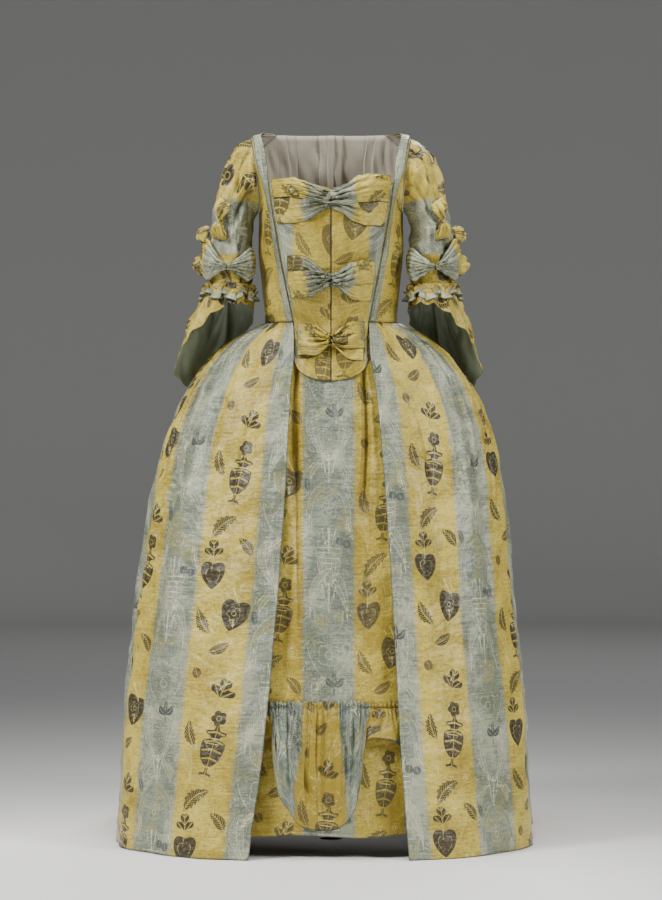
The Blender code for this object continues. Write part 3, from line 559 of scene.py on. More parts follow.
def tint(factor, a, b):
    """From colour a to colour b."""
    tree = factor.tree
    node = tree.nodes.new("ShaderNodeMix")
    node.data_type = "RGBA"
    join(tree, factor, node.inputs["Factor"])
    for name, colour in (("A", a), ("B", b)):
        socket = next(i for i in node.inputs if i.name == name and i.type == "RGBA")
        join(tree, colour if isinstance(colour, Wire) else (*colour, 1.0), socket)
    return Wire(tree, next(o for o in node.outputs if o.type == "RGBA"))


def new_group(name, takes, gives):
    """An empty node group, its inputs as wires, and a function that joins its outputs."""
    tree = bpy.data.node_groups.new(name, "ShaderNodeTree")
    for way, sockets in (("INPUT", takes), ("OUTPUT", gives)):
        for socket, kind in sockets.items():
            tree.interface.new_socket(socket, in_out=way, socket_type=f"NodeSocket{kind}")
    entry, result = tree.nodes.new("NodeGroupInput"), tree.nodes.new("NodeGroupOutput")

    def give(**values):
        for socket, value in values.items():
            join(tree, value, result.inputs[socket.replace("_", " ")])

    return tree, [Wire(tree, entry.outputs[socket]) for socket in takes], give


def placed(tree, group, given):
    """A group put in a tree: its outputs by name."""
    node = tree.nodes.new("ShaderNodeGroup")
    node.node_tree = group
    for name, value in given.items():
        join(tree, value, node.inputs[name])
    return {output.name: Wire(tree, output) for output in node.outputs}


# %% [markdown]
# ## Woven figures
# Leaves, berries, hearts, urns, rosettes and a small lily repeat along the silk. They could be drawn as
# images, but a formula stays sharp at any size. Each has one outline, the half width at each share of its
# height, held in a curve node. Shear lifts its sides, which makes a heart of a round outline. Bend curls
# it, lobes nick its edge, and petals make a rosette. The group gives the figure twice: solid with light
# veins, for the dark figures, and as fine lines only, for the cream ones.

# %% Figures
Outline = namedtuple("Outline", "up half")
OUTLINES = {
    "leaf": [(0, 0), (0.06, 0.16), (0.2, 0.6), (0.45, 1), (0.7, 0.84), (0.9, 0.4), (1, 0)],
    "frond": [(0, 0.03), (0.2, 0.24), (0.5, 0.7), (0.75, 1), (0.92, 0.75), (1, 0)],
    "berry": [(0, 0), (0.07, 0.5), (0.25, 0.87), (0.5, 1), (0.75, 0.87), (0.93, 0.5), (1, 0)],
    "dome": [(0, 1), (0.45, 0.98), (0.65, 0.88), (0.82, 0.66), (0.94, 0.38), (1, 0)],
    "bowl": [(0, 0.3), (0.1, 0.22), (0.2, 0.2), (0.3, 0.5), (0.5, 0.8), (0.8, 0.97), (1, 1)],
    "fan": [(0, 0.05), (0.25, 0.22), (0.6, 0.66), (0.85, 1), (0.95, 0.9), (1, 0.6)],
    "urn": [
        (0, 0.5), (0.05, 0.55), (0.08, 0.18), (0.16, 0.14), (0.22, 0.42), (0.45, 0.95),
        (0.6, 1), (0.68, 0.72), (0.73, 0.4), (0.79, 0.8), (0.83, 0.86), (0.87, 0.3), (1, 0.06),
    ],
    "trefoil": [
        (0, 0.07), (0.3, 0.09), (0.34, 0.8), (0.46, 1), (0.58, 0.84), (0.64, 0.4), (0.78, 0.52), (1, 0.04),
    ],
    "stem": [(0, 0.4), (0.5, 0.7), (1, 0.2)],
}
# Shear, bend (per metre) and lobes shape the outline. Veins are a pitch in metres and a slope, and with a
# spray they fan out from the base instead.
Drawing = namedtuple(
    "Drawing", "outline shear bend lobes pitch slope rib spray petals",
    defaults=(0.0, 0.0, 0, 0.0, 0.0, 0.0, False, 0),
)
DRAWINGS = {
    "leaf": Drawing("leaf", bend=7.0, pitch=0.0046, slope=-1.1, rib=0.0007),
    "curled": Drawing("leaf", bend=-9.0, lobes=7, pitch=0.0054, slope=-1.3, rib=0.0008),
    "frond": Drawing("frond", bend=5.0, pitch=0.0052, slope=-1.6, rib=0.0006),
    "berry": Drawing("berry", pitch=0.0048, slope=2.4, rib=0.0005),
    "heart": Drawing("berry", shear=0.55),
    "arch": Drawing("dome"),
    "bowl": Drawing("bowl", pitch=0.0090),
    "fan": Drawing("fan", lobes=6, pitch=0.0110, rib=0.0004, spray=True),
    "petal": Drawing("leaf", bend=26.0, rib=0.0005),
    "urn": Drawing("urn", pitch=0.0150, slope=0.25, rib=0.0006),
    "trefoil": Drawing("trefoil", shear=0.25, bend=2.0, pitch=0.0120, slope=-1.1, rib=0.0006),
    "stem": Drawing("stem", bend=6.0),
    "rosette": Drawing("berry", petals=5),
}
VEIN_SHARE, VEINS_WITHIN, VEIN_DEPTH, LINE, SOFT, TIP = 0.20, 0.86, 0.85, 0.0011, 0.0007, 0.001
PETAL_DEPTH, EYE = 0.24, 0.30
LOBE_DEPTH, SPRAY_START = 0.32, 0.14


def figure_group(name, drawing):
    takes = {"Place": "Vector", "Length": "Float", "Width": "Float"}
    gives = {"Solid": "Float", "Drawn": "Float"}
    tree, (place, length, width), give = new_group(f"figure {name}", takes, gives)
    x, y, _ = split(place)
    if drawing.petals:
        angle = y.then("ARCTAN2", x)
        radius = (x * x + y * y).then("SQRT")
        petal = abs((angle * (drawing.petals / 2)).then("SINE")) * PETAL_DEPTH + (1 - PETAL_DEPTH)
        half, x = width * 0.5 * petal, radius
        lines = abs(radius - width * 0.5 * EYE) < drawing.rib + LINE / 2
        inside = ramp(half - x, 0.0, SOFT)
    else:
        if drawing.bend:
            x = x + y * y * drawing.bend
        x = abs(x)
        up = (y - x * drawing.shear) / length + 0.5
        profile = tree.nodes.new("ShaderNodeFloatCurve")
        points = profile.mapping.curves[0].points
        rows = [Outline(*row) for row in OUTLINES[drawing.outline]]
        for row in rows[1:-1]:
            points.new(row.up, row.half)
        points[0].location, points[-1].location = rows[0], rows[-1]
        profile.mapping.update()
        join(tree, up, profile.inputs["Value"])
        half = Wire(tree, profile.outputs[0]) * width * 0.5
        if drawing.lobes:
            half = half * ((up * drawing.lobes).part() * -LOBE_DEPTH + 1.0)
        inside = ramp(half - x, 0.0, SOFT).both(up > TIP).both(up < 1 - TIP)
        lines = x < drawing.rib
        if drawing.pitch:
            way = x / (up + SPRAY_START) if drawing.spray else y + x * drawing.slope
            lines = lines.either(((way / drawing.pitch).part() < VEIN_SHARE).both(x < half * VEINS_WITHIN))
    edge = (half - x) < LINE
    give(Solid=inside.both((lines * VEIN_DEPTH).inverse()), Drawn=inside.both(lines.either(edge)))
    return tree


FIGURES = {name: figure_group(name, drawing) for name, drawing in DRAWINGS.items()}
print(f"{len(FIGURES)} figures, {sum(len(group.nodes) for group in FIGURES.values())} nodes")

# %% [markdown]
# ## Where the figures stand
# A brocade repeats up the stripe, and the next stripe starts its repeat elsewhere. Short tables say where
# each figure stands in one repeat, from the middle of its stripe. On the blue stripes the cream drawing is
# mirrored about the middle, so a frond given once grows on both sides.

# %% Placing
PERIOD, BLUE_WIDTH, REPEAT, DROP = 0.197, 0.097, 0.470, 0.37
Placed = namedtuple("Placed", "figure x y turn length width")
ON_YELLOW = rows_of(Placed, [
    ("berry", -0.030, 0.446, 20, 0.018, 0.017),
    ("trefoil", 0.018, 0.414, -22, 0.046, 0.044),
    ("rosette", 0.017, 0.370, 0, 0.026, 0.028),
    ("urn", 0.010, 0.316, -10, 0.092, 0.042),
    ("curled", -0.032, 0.340, 16, 0.050, 0.022),
    ("curled", -0.014, 0.234, -48, 0.062, 0.027),
    ("trefoil", -0.024, 0.186, 4, 0.040, 0.036),
    ("heart", -0.022, 0.143, 0, 0.044, 0.046),
    ("leaf", 0.036, 0.196, 38, 0.044, 0.018),
    ("heart", 0.024, 0.074, -14, 0.050, 0.050),
    ("curled", -0.032, 0.062, 34, 0.052, 0.024),
    ("leaf", 0.004, 0.018, -66, 0.042, 0.018),
])
FAINT_ON_YELLOW = rows_of(Placed, [
    ("stem", 0.024, 0.190, -10, 0.110, 0.0024),
    ("stem", 0.008, 0.190, 16, 0.090, 0.0022),
    ("rosette", 0.032, 0.252, 0, 0.017, 0.018),
    ("rosette", -0.002, 0.236, 0, 0.014, 0.015),
    ("frond", -0.030, 0.290, 20, 0.072, 0.024),
    ("fan", 0.026, 0.108, 24, 0.036, 0.034),
    ("rosette", -0.032, 0.020, 0, 0.020, 0.022),
    ("frond", 0.030, 0.440, -30, 0.060, 0.020),
    ("stem", -0.010, 0.400, 24, 0.080, 0.0024),
    ("heart", -0.022, 0.142, 0, 0.026, 0.027),
    ("rosette", 0.024, 0.080, 0, 0.024, 0.025),
    ("fan", 0.024, 0.062, 0, 0.018, 0.016),
    ("bowl", 0.009, 0.326, -10, 0.030, 0.028),
    ("stem", -0.024, 0.170, 0, 0.040, 0.0026),
])
DARK_ON_BLUE = rows_of(Placed, [
    ("berry", 0.010, 0.404, 0, 0.026, 0.011),
    ("petal", 0.020, 0.399, -52, 0.026, 0.012),
    ("petal", 0.001, 0.399, 232, 0.026, 0.012),
    ("stem", 0.010, 0.385, 0, 0.014, 0.004),
    ("berry", 0.034, 0.170, 10, 0.015, 0.016),
    ("berry", 0.020, 0.173, -10, 0.015, 0.015),
    ("leaf", -0.040, 0.270, 12, 0.028, 0.012),
])
CREAM_ON_BLUE = rows_of(Placed, [
    ("arch", 0.000, 0.234, 0, 0.086, 0.084),
    ("arch", 0.000, 0.230, 0, 0.072, 0.066),
    ("rosette", 0.000, 0.226, 0, 0.030, 0.032),
    ("fan", 0.000, 0.300, 0, 0.050, 0.054),
    ("bowl", 0.000, 0.142, 0, 0.040, 0.050),
    ("fan", 0.000, 0.174, 0, 0.044, 0.048),
    ("frond", 0.026, 0.352, -20, 0.104, 0.026),
    ("frond", 0.026, 0.084, 24, 0.098, 0.026),
    ("fan", 0.000, 0.074, 0, 0.052, 0.040),
    ("arch", 0.000, 0.034, 180, 0.040, 0.054),
    ("rosette", 0.000, 0.446, 0, 0.040, 0.044),
    ("curled", 0.038, 0.196, 14, 0.044, 0.016),
    ("leaf", 0.016, 0.398, 42, 0.034, 0.014),
    ("stem", 0.034, 0.440, -24, 0.080, 0.0022),
    ("frond", 0.012, 0.120, -8, 0.060, 0.018),
    ("petal", 0.030, 0.300, 36, 0.040, 0.014),
])


def figures_group(name, table, output, mirrored=False):
    """Every figure of a table, as one mask of what they fill (Solid) or of their lines (Drawn)."""
    tree, (across, along), give = new_group(name, {"Across": "Float", "Along": "Float"}, {"Mask": "Float"})
    place = joined(abs(across) if mirrored else across, along)
    mask = None
    for row in table:
        stand = {"Vector": place, "Location": (row.x, row.y, 0), "Rotation": (0, 0, math.radians(row.turn))}
        local = node_of(tree, "Mapping", stand, vector_type="TEXTURE")
        given = {"Place": local, "Length": row.length, "Width": row.width}
        shape = placed(tree, FIGURES[row.figure], given)[output]
        mask = shape if mask is None else mask.either(shape)
    give(Mask=mask)
    return tree


SHADED = ("arch", "bowl", "leaf", "petal")
SHADED_ON_BLUE = [row for row in CREAM_ON_BLUE if row.figure in SHADED]
YELLOW_FIGURES = figures_group("dark figures on yellow", ON_YELLOW, "Solid")
FAINT_FIGURES = figures_group("faint figures on yellow", FAINT_ON_YELLOW, "Drawn")
BLUE_FIGURES = figures_group("dark figures on blue", DARK_ON_BLUE, "Solid")
CREAM_FIGURES = figures_group("cream figures on blue", CREAM_ON_BLUE, "Drawn", mirrored=True)
SHADED_FIGURES = figures_group("shaded figures on blue", SHADED_ON_BLUE, "Solid", mirrored=True)
print(f"{sum(map(len, (ON_YELLOW, FAINT_ON_YELLOW, DARK_ON_BLUE, CREAM_ON_BLUE)))} figures to a repeat")

# %% [markdown]
# ## The stripes
# The weave runs up the cloth, and its first coordinate counts across the stripes. Its fraction of a period,
# taken from the middle of a stripe, gives the distance from that middle, and the whole number gives a drop
# of its own to each stripe's repeat. A little noise lets the stripes' edges waver as a hand loom leaves
# them.

# %% Stripes
WAVER, BLEED, WAVER_SCALE, WAVER_STRETCH = 0.0026, 0.0058, 55.0, 0.2
YELLOW_DROP, YELLOW_START, PUCKERED = DROP * 1.7, 0.21, 0.014


def mix_numbers(factor, a, b):
    return (b - a) * factor + a


def stripes_group():
    gives = {name: "Float" for name in ("Blue", "Across blue", "Across yellow", "Along", "Edge")}
    tree, (weave,), give = new_group("stripes", {"Weave": "Vector"}, gives)
    x, y, _ = split(weave)
    wander = (noise(joined(x * WAVER_STRETCH, y), WAVER_SCALE, 1.0) - 0.5) * (2 * WAVER)
    from_blue = ((x / PERIOD + 0.5).part() - 0.5) * PERIOD
    from_yellow = ((x / PERIOD).part() - 0.5) * PERIOD
    drop = (x / PERIOD + 0.5).floor() * DROP
    yellow_drop = (x / PERIOD).floor() * YELLOW_DROP + YELLOW_START
    off_edge = abs(from_blue) + wander - BLUE_WIDTH / 2
    blue = ramp(off_edge, BLEED, -BLEED)
    start = mix_numbers(off_edge < 0.0, yellow_drop, drop)
    along = ((y / REPEAT + start).part()) * REPEAT
    edge = ramp(abs(off_edge), PUCKERED, 0.0)
    give(Blue=blue, Across_blue=from_blue, Across_yellow=from_yellow, Along=along, Edge=edge)
    return tree


STRIPES = stripes_group()
print(f"stripes of {MM * BLUE_WIDTH:.0f} and {MM * (PERIOD - BLUE_WIDTH):.0f} mm")

# %% [markdown]
# ## Slubs, puckers and scrolls
# Hand-reeled silk has thick places, which show as short streaks across the cloth. Where two colours of warp
# meet, the cloth shrinks unevenly and puckers. The cream scrolls between the figures are contour lines of a
# mirrored noise: wherever the noise crosses a level, there is a line, and a mirrored noise curls alike to
# both sides.

# %% Slub and scroll groups
Grain = namedtuple("Grain", "across along relief detail roughness", defaults=(1.0, 0.5))
STREAK, THREAD = Grain(22.0, 430.0, 0.00020, 2.0, 0.6), Grain(620.0, 30.0, 0.00006)
FLECK, PUCKER = Grain(130.0, 260.0, 0.0, 2.0, 0.6), Grain(30.0, 120.0, 0.0026)
RIDGE, PUCKERED_ALL_OVER = Grain(22.0, 34.0, 0.0070, 2.0), 0.12
Cloud = namedtuple("Cloud", "scale detail roughness relief", defaults=(0.0,))
FADING, CRUMPLE = Cloud(11.0, 4.0, 0.62), Cloud(30.0, 3.0, 0.55, 0.0034)
STREAK_SHARE, THREAD_SHARE = 0.7, 0.3
CONTOURS, CONTOUR_DETAIL, CONTOUR_ROUGHNESS, PATCHES, PATCH_LEVEL = 9.0, 1.6, 0.45, 0.42, 0.46


def grain(x, y, kind):
    """Noise with its own number of threads to a metre, across the cloth and along it."""
    place = joined(x * kind.across, y * kind.along)
    return noise(place, 1.0, kind.detail, kind.roughness)


def clouds(weave, kind):
    return noise(weave, kind.scale, kind.detail, kind.roughness)


def slub_group():
    takes = {"Weave": "Vector", "Edge": "Float"}
    gives = {"Streak": "Float", "Cloud": "Float", "Fleck": "Float", "Relief": "Float"}
    tree, (weave, edge), give = new_group("slubs", takes, gives)
    x, y, _ = split(weave)
    streak, thread = grain(x, y, STREAK), grain(x, y, THREAD)
    cloud, fleck = clouds(weave, FADING), grain(x, y, FLECK)
    pucker = grain(x, y, PUCKER) * (edge + PUCKERED_ALL_OVER)
    crumple = clouds(weave, CRUMPLE)
    ridge = abs(grain(x, y, RIDGE) - 0.5)
    relief = streak * STREAK.relief + thread * THREAD.relief + pucker * PUCKER.relief
    relief = relief + crumple * CRUMPLE.relief + ridge * RIDGE.relief
    give(Streak=streak * STREAK_SHARE + thread * THREAD_SHARE, Cloud=cloud, Fleck=fleck, Relief=relief)
    return tree


def scroll_group():
    takes = {"Across": "Float", "Along": "Float", "Size": "Float", "Line": "Float"}
    tree, (across, along, size, line), give = new_group("scrolls", takes, {"Mask": "Float"})
    place = joined(abs(across) / size, along / size)
    level = noise(place, 1.0, CONTOUR_DETAIL, CONTOUR_ROUGHNESS)
    contour = abs((level * CONTOURS).part() - 0.5) < line
    patches = noise(place, PATCHES, 0.0) > PATCH_LEVEL
    give(Mask=contour.both(patches))
    return tree


SLUBS, SCROLLS = slub_group(), scroll_group()
print(f"{len(SLUBS.nodes)} nodes for slubs, {len(SCROLLS.nodes)} for scrolls")

# %% [markdown]
# ## The silk
# One group turns the weave into the silk's colour and relief: ground, clouds of fading, dark figures, cream
# ones, the stitches of a hem, and a thin painted shadow line along hemmed edges. Between the walls of a fold
# light is coloured by one wall before it reaches the other, so the silk looks deeper in its hollows; a map of
# hollows adds painted shade there as well. Three sockets set how strongly the figures show, how deep the
# colours are (partly painted shade, on the petticoat and its flounce) and how dark the painted shade in folds
# turns, so all six silks share one group. The shader itself stays in each material, with its sheen set on its
# own socket.

# %% Silk colours
YELLOW_LIGHT, YELLOW_DEEP = (0.660, 0.520, 0.098), (0.330, 0.236, 0.024)
YELLOW_OLIVE = (0.235, 0.218, 0.040)
BLUE_LIGHT, BLUE_DEEP = (0.385, 0.405, 0.280), (0.098, 0.134, 0.118)
BLUE_STRAW = (0.340, 0.315, 0.120)
CREAM, CREAM_ON_YELLOW = (0.740, 0.730, 0.520), (0.900, 0.790, 0.340)
DARK, DARK_BLUE = (0.044, 0.036, 0.018), (0.050, 0.058, 0.058)
DARK_WORN = (0.125, 0.102, 0.048)
# One dark colour for the stitches, the painted shade in folds and the painted shadow line along hemmed edges,
# then how far that shadow line reaches and how dark it is.
STITCHES_AND_PAINTED_SHADE, HEM_FROM, HEM_TO, HEM_PAINTED_SHADOW = (0.040, 0.035, 0.016), 0.0013 * 1.6, 0.0013 * 0.4, 0.72
STITCHES_AT, STITCH_WIDTH, STITCH_DARK, STITCH_DEPTH = 0.0075, 0.0004, 0.22, -0.0004
FLOSS, GLOSS = 0.24, 0.30
STREAK_SHADE, CLOUD_SHADE, FLECK_SHADE, PALE_DEPTH = 0.30, 0.62, 0.26, 0.7
YELLOW_RANGE, OLIVE_RANGE, OLIVE = (0.42, 0.78), (0.56, 0.74), 0.35
BLUE_RANGE, STRAW_RANGE, STRAW = (0.47, 0.71), (1.02, 1.30), 0.55
FILLING_RANGE, FILLING, WORN_RANGE, FLOATED = (0.47, 0.53), 0.42, (0.44, 0.70), (0.34, 0.60, 0.25, 1.0)
BLUE_SCROLLS, YELLOW_SCROLLS = {"Size": 0.024, "Line": 0.095}, {"Size": 0.036, "Line": 0.070}
SCROLL, CREAM_SHOWS, FAINT, DARK_SHOWS, DRAWN = 0.48, 0.80, 0.30, 0.9, 0.62
PAINTED_FOLD_SHADE_RANGE = (0.0002, 0.0042, 0.0, 0.72)


def silk_group():
    # Hollow is each place's fold depth, and Folds sets how dark the painted shade there turns.
    takes = {"Weave": "Vector", "Hem": "Float", "Hollow": "Float"}
    takes |= {"Figures": "Float", "Depth": "Float", "Folds": "Float"}
    gives = {"Color": "Color", "Relief": "Float", "Roughness": "Float"}
    tree, (weave, hem, hollow, figures, depth, folds), give = new_group("silk", takes, gives)

    def mask(group, given):
        return placed(tree, group, given)["Mask"]

    stripe = placed(tree, STRIPES, {"Weave": weave})
    slub = placed(tree, SLUBS, {"Weave": weave, "Edge": stripe["Edge"]})
    blue, along = stripe["Blue"], stripe["Along"]
    streak, cloud, fleck = slub["Streak"], slub["Cloud"], slub["Fleck"]
    shade = streak * STREAK_SHADE + cloud * CLOUD_SHADE + fleck * FLECK_SHADE + depth
    yellow = tint(ramp(shade, *YELLOW_RANGE), YELLOW_LIGHT, YELLOW_DEEP)
    yellow = tint(ramp(fleck, *OLIVE_RANGE) * OLIVE, yellow, YELLOW_OLIVE)
    pale = tint(ramp(shade - depth * PALE_DEPTH, *BLUE_RANGE), BLUE_LIGHT, BLUE_DEEP)
    pale = tint(ramp(fleck + cloud, *STRAW_RANGE) * STRAW, pale, BLUE_STRAW)

    on_blue = {"Across": stripe["Across blue"], "Along": along}
    on_yellow = {"Across": stripe["Across yellow"], "Along": along}
    scroll = mask(SCROLLS, on_blue | BLUE_SCROLLS)
    shaded = mask(SHADED_FIGURES, on_blue)
    filling = tint(ramp(cloud, *FILLING_RANGE), BLUE_DEEP, BLUE_STRAW)
    pale = tint(shaded * figures * FILLING, pale, filling)
    cream = mask(CREAM_FIGURES, on_blue)
    drawn = mask(FAINT_FIGURES, on_yellow)
    faint = mask(SCROLLS, on_yellow | YELLOW_SCROLLS)
    floated = ramp(fleck, *FLOATED)
    pale = tint(cream.either(scroll * SCROLL) * figures * floated * CREAM_SHOWS, pale, CREAM)
    yellow = tint(faint * figures * floated * FAINT, yellow, CREAM_ON_YELLOW)
    worn = tint(ramp(fleck, *WORN_RANGE), DARK, DARK_WORN)
    pale = tint(mask(BLUE_FIGURES, on_blue) * figures * DARK_SHOWS, pale, DARK_BLUE)
    yellow = tint(mask(YELLOW_FIGURES, on_yellow) * figures, yellow, worn)
    yellow = tint(drawn * figures * floated * DRAWN, yellow, CREAM_ON_YELLOW)
    stitches = abs(hem - STITCHES_AT) < STITCH_WIDTH
    # A thin painted shadow line along hemmed edges, as under an edge that stands over the cloth beneath.
    edge = ramp(hem, HEM_FROM, HEM_TO)
    # Painted shade in the folds: the deeper a hollow lies, the darker the silk.
    painted_fold_shade = ramp(hollow, *PAINTED_FOLD_SHADE_RANGE) * folds
    painted_shade_and_stitches = (edge * HEM_PAINTED_SHADOW).either(stitches * STITCH_DARK).either(painted_fold_shade)
    colour = tint(painted_shade_and_stitches, tint(blue, yellow, pale), STITCHES_AND_PAINTED_SHADE)
    relief = slub["Relief"] + stitches * STITCH_DEPTH
    give(Color=colour, Relief=relief, Roughness=streak * FLOSS + GLOSS)
    return tree


SILK = silk_group()
print(f"{len(SILK.nodes)} nodes for the silk")

# %% Silk materials
RELIEF_STRENGTH, PLAIN_SPECULAR = 0.8, 0.5
SILK_SHEEN, SILK_SHEEN_SPREAD, SILK_SPECULAR = 0.05, 0.35, 0.36


def material_of(name, sheen, sheen_roughness, specular=PLAIN_SPECULAR):
    material = bpy.data.materials.new(name)
    material.use_nodes = True
    shader = material.node_tree.nodes["Principled BSDF"]
    shader.inputs["Sheen Weight"].default_value = sheen
    shader.inputs["Sheen Roughness"].default_value = sheen_roughness
    shader.inputs["Specular IOR Level"].default_value = specular
    return material, material.node_tree, shader


def finish_with(tree, shader, colour, relief, roughness):
    bump = node_of(tree, "Bump", {"Height": relief, "Strength": RELIEF_STRENGTH, "Distance": 1.0})
    join(tree, colour, shader.inputs["Base Color"])
    join(tree, roughness, shader.inputs["Roughness"])
    join(tree, bump, shader.inputs["Normal"])


def silk(name, figures, depth, folds=1.0):
    material, tree, shader = material_of(name, SILK_SHEEN, SILK_SHEEN_SPREAD, SILK_SPECULAR)
    weave = node_of(tree, "UVMap", {}, uv_map="weave")
    hem, hollow, _ = split(node_of(tree, "UVMap", {}, uv_map="hem"))
    given = {"Weave": weave, "Hem": hem, "Hollow": hollow}
    made = placed(tree, SILK, {**given, "Figures": figures, "Depth": depth, "Folds": folds})
    finish_with(tree, shader, made["Color"], made["Relief"], made["Roughness"])
    return material


# Depth darkens the petticoat's silk a little and the flounce's more. This is painted shade, because both hang
# recessed in the skirts' shadow, with some of the petticoat's own deeper tone. Folds sets how dark the
# painted shade in hollows turns.
striped_silk = silk("striped_silk", figures=1.0, depth=0.0)
petticoat_silk_painted_shade = silk("petticoat_silk_painted_shade", figures=0.85, depth=0.07, folds=0.80)
flounce_silk_painted_shade = silk("flounce_silk_painted_shade", figures=0.9, depth=0.27, folds=0.50)
bodice_silk = silk("bodice_silk", figures=0.75, depth=0.02)
robing_silk = silk("robing_silk", figures=0.5, depth=0.0)
bow_silk = silk("bow_silk", figures=0.85, depth=-0.06, folds=0.50)
print("six silks from one group")

# %% [markdown]
# ## Behind the silk
# The bodice, the sleeves and the whole sack back are lined with plain linen, and the elbow flounces with a
# pale green silk. The skirts, the petticoat with its flounce and the robings show the silk's own back,
# where the colours are duller. All are plain weaves, so one group of crossed threads serves them, with a
# colour for each.

# %% Linings
LINEN, LINEN_SHADE = (0.56, 0.51, 0.41), (0.40, 0.36, 0.28)
GREEN, GREEN_SHADE = (0.360, 0.400, 0.280), (0.200, 0.235, 0.160)
BACK_LIGHT, BACK_SHADE = (0.34, 0.31, 0.20), (0.20, 0.19, 0.135)
WEFT, WARP = Grain(40.0, 600.0, 0.00012), Grain(600.0, 40.0, 0.00012)
THREADS_SHADE, FADED_SHADE, FADED, PUFFED = 0.4, 0.3, Cloud(16.0, 2.0, 0.5), Cloud(34.0, 1.0, 0.5, 0.0012)
LINING_SHEEN_SPREAD = 0.4


def plain_weave_group():
    takes = {"Weave": "Vector", "Light": "Color", "Shade": "Color"}
    tree, (weave, light, shade), give = new_group("plain weave", takes, {"Color": "Color", "Relief": "Float"})
    x, y, _ = split(weave)
    weft, warp = grain(x, y, WEFT), grain(x, y, WARP)
    cloud = clouds(weave, FADED) * FADED_SHADE
    give(Color=tint(weft * THREADS_SHADE + warp * THREADS_SHADE + cloud, light, shade))
    give(Relief=weft * WEFT.relief + warp * WARP.relief + clouds(weave, PUFFED) * PUFFED.relief)
    return tree


PLAIN_WEAVE = plain_weave_group()


def lining(name, light, shade, roughness, sheen):
    material, tree, shader = material_of(name, sheen, LINING_SHEEN_SPREAD)
    weave = node_of(tree, "UVMap", {}, uv_map="weave")
    given = {"Weave": weave, "Light": (*light, 1), "Shade": (*shade, 1)}
    made = placed(tree, PLAIN_WEAVE, given)
    finish_with(tree, shader, made["Color"], made["Relief"], roughness)
    return material


linen = lining("linen_lining", LINEN, LINEN_SHADE, roughness=0.8, sheen=0.1)
green_silk = lining("green_lining", GREEN, GREEN_SHADE, roughness=0.45, sheen=0.15)
silk_back = lining("silk_back", BACK_LIGHT, BACK_SHADE, roughness=0.55, sheen=0.15)
print("three linings from one group")

# %% [markdown]
# ## The petticoat
# The petticoat is a ring of silk over the hip hoops, pleated into its waistband all round but in front. It
# could be one smooth cone, but two deep folds run down beside its middle stripe, where the pleats on both
# sides begin. The grid has more columns in front, where it shows, than behind under the gown.

# %% Petticoat
PETTICOAT_TOP, PETTICOAT_HEM = WAIST - 0.006, 0.037
PETTICOAT_PLEATS, PETTICOAT_PLEAT_DEPTH, PLAIN_FRONT = 12, 0.0045, 0.16
PLEATS_EASE, PLEATS_START, PLEATS_RISE = 0.06, 0.45, 0.5
HEM_WAVE, HEM_WAVES = 0.0022, 13
PETTICOAT_COLUMNS, EVEN_SHARE, CROWDING = 300, 0.35, 2.4


def pleat_wave(share, count):
    """Rounded pleats that stand out from 0 to 1."""
    return 0.5 - 0.5 * np.cos(TURN * count * share)


def petticoat(u, v):
    hem = PETTICOAT_HEM + HEM_WAVE * np.sin(TURN * HEM_WAVES * u)
    height = mixed(hem, PETTICOAT_TOP, v)
    angle = mixed(-math.pi, math.pi, u)
    pleated = eased((np.abs(angle) / math.pi - PLAIN_FRONT) / PLEATS_EASE)
    near_waist = eased((v - PLEATS_START) / PLEATS_RISE)
    pleats = PETTICOAT_PLEAT_DEPTH * pleat_wave(u, PETTICOAT_PLEATS) * pleated * near_waist
    return form(angle, height, -LAYER_GAP - pleats)


def crowded():
    """Columns from 0 to 1 that crowd towards the middle."""
    even = np.linspace(-1, 1, PETTICOAT_COLUMNS + 1)
    return 0.5 + 0.5 * (EVEN_SHARE * even + (1 - EVEN_SHARE) * power(even, CROWDING))


petticoat_columns = crowded()
hem_row = petticoat(petticoat_columns[None, :], np.zeros((1, len(petticoat_columns))))
FRONT_AT = float(lengths(hem_row, 1)[0, len(petticoat_columns) // 2])
FRONT_FOLDS = rows_of(Crease, [
    (0.0955, 0.890, 0.0575, 0.500, 0.003, 0.0100, -0.0135),
    (0.1040, 0.890, 0.0670, 0.430, 0.002, 0.0080, 0.0058),
    (0.0860, 0.890, 0.0480, 0.520, 0.000, 0.0070, 0.0030),
    (-0.1040, 0.885, -0.0680, 0.560, -0.002, 0.0100, -0.0130),
    (-0.1130, 0.885, -0.0770, 0.480, -0.002, 0.0080, 0.0056),
    (-0.0940, 0.885, -0.0580, 0.600, 0.000, 0.0070, 0.0030),
    (-0.0850, 0.870, -0.0520, 0.220, 0.001, 0.0060, -0.0080),
    (0.0800, 0.600, 0.0540, 0.240, 0.001, 0.0070, -0.0050),
    (0.122, 0.870, 0.118, 0.330, 0.004, 0.0140, 0.0040),
    (-0.132, 0.870, -0.124, 0.300, -0.004, 0.0150, 0.0040),
    (0.062, 0.520, 0.078, 0.230, 0.003, 0.0160, -0.0045),
    (-0.072, 0.560, -0.086, 0.250, -0.003, 0.0160, -0.0045),
    (-0.020, 0.860, -0.032, 0.560, 0.004, 0.0110, -0.0028),
    (0.026, 0.840, 0.020, 0.520, -0.004, 0.0120, 0.0030),
    (0.006, 0.700, -0.010, 0.330, 0.005, 0.0220, 0.0036),
    (-0.040, 0.640, -0.052, 0.280, 0.003, 0.0120, 0.0030),
    (0.038, 0.560, 0.050, 0.270, 0.003, 0.0140, -0.0030),
    (-0.090, 0.150, 0.010, 0.050, 0.006, 0.0110, 0.0030),
    (0.030, 0.170, 0.130, 0.040, 0.008, 0.0120, 0.0034),
])
PETTICOAT_FOLDS = [row._replace(s0=FRONT_AT + row.s0, s1=FRONT_AT + row.s1) for row in FRONT_FOLDS]
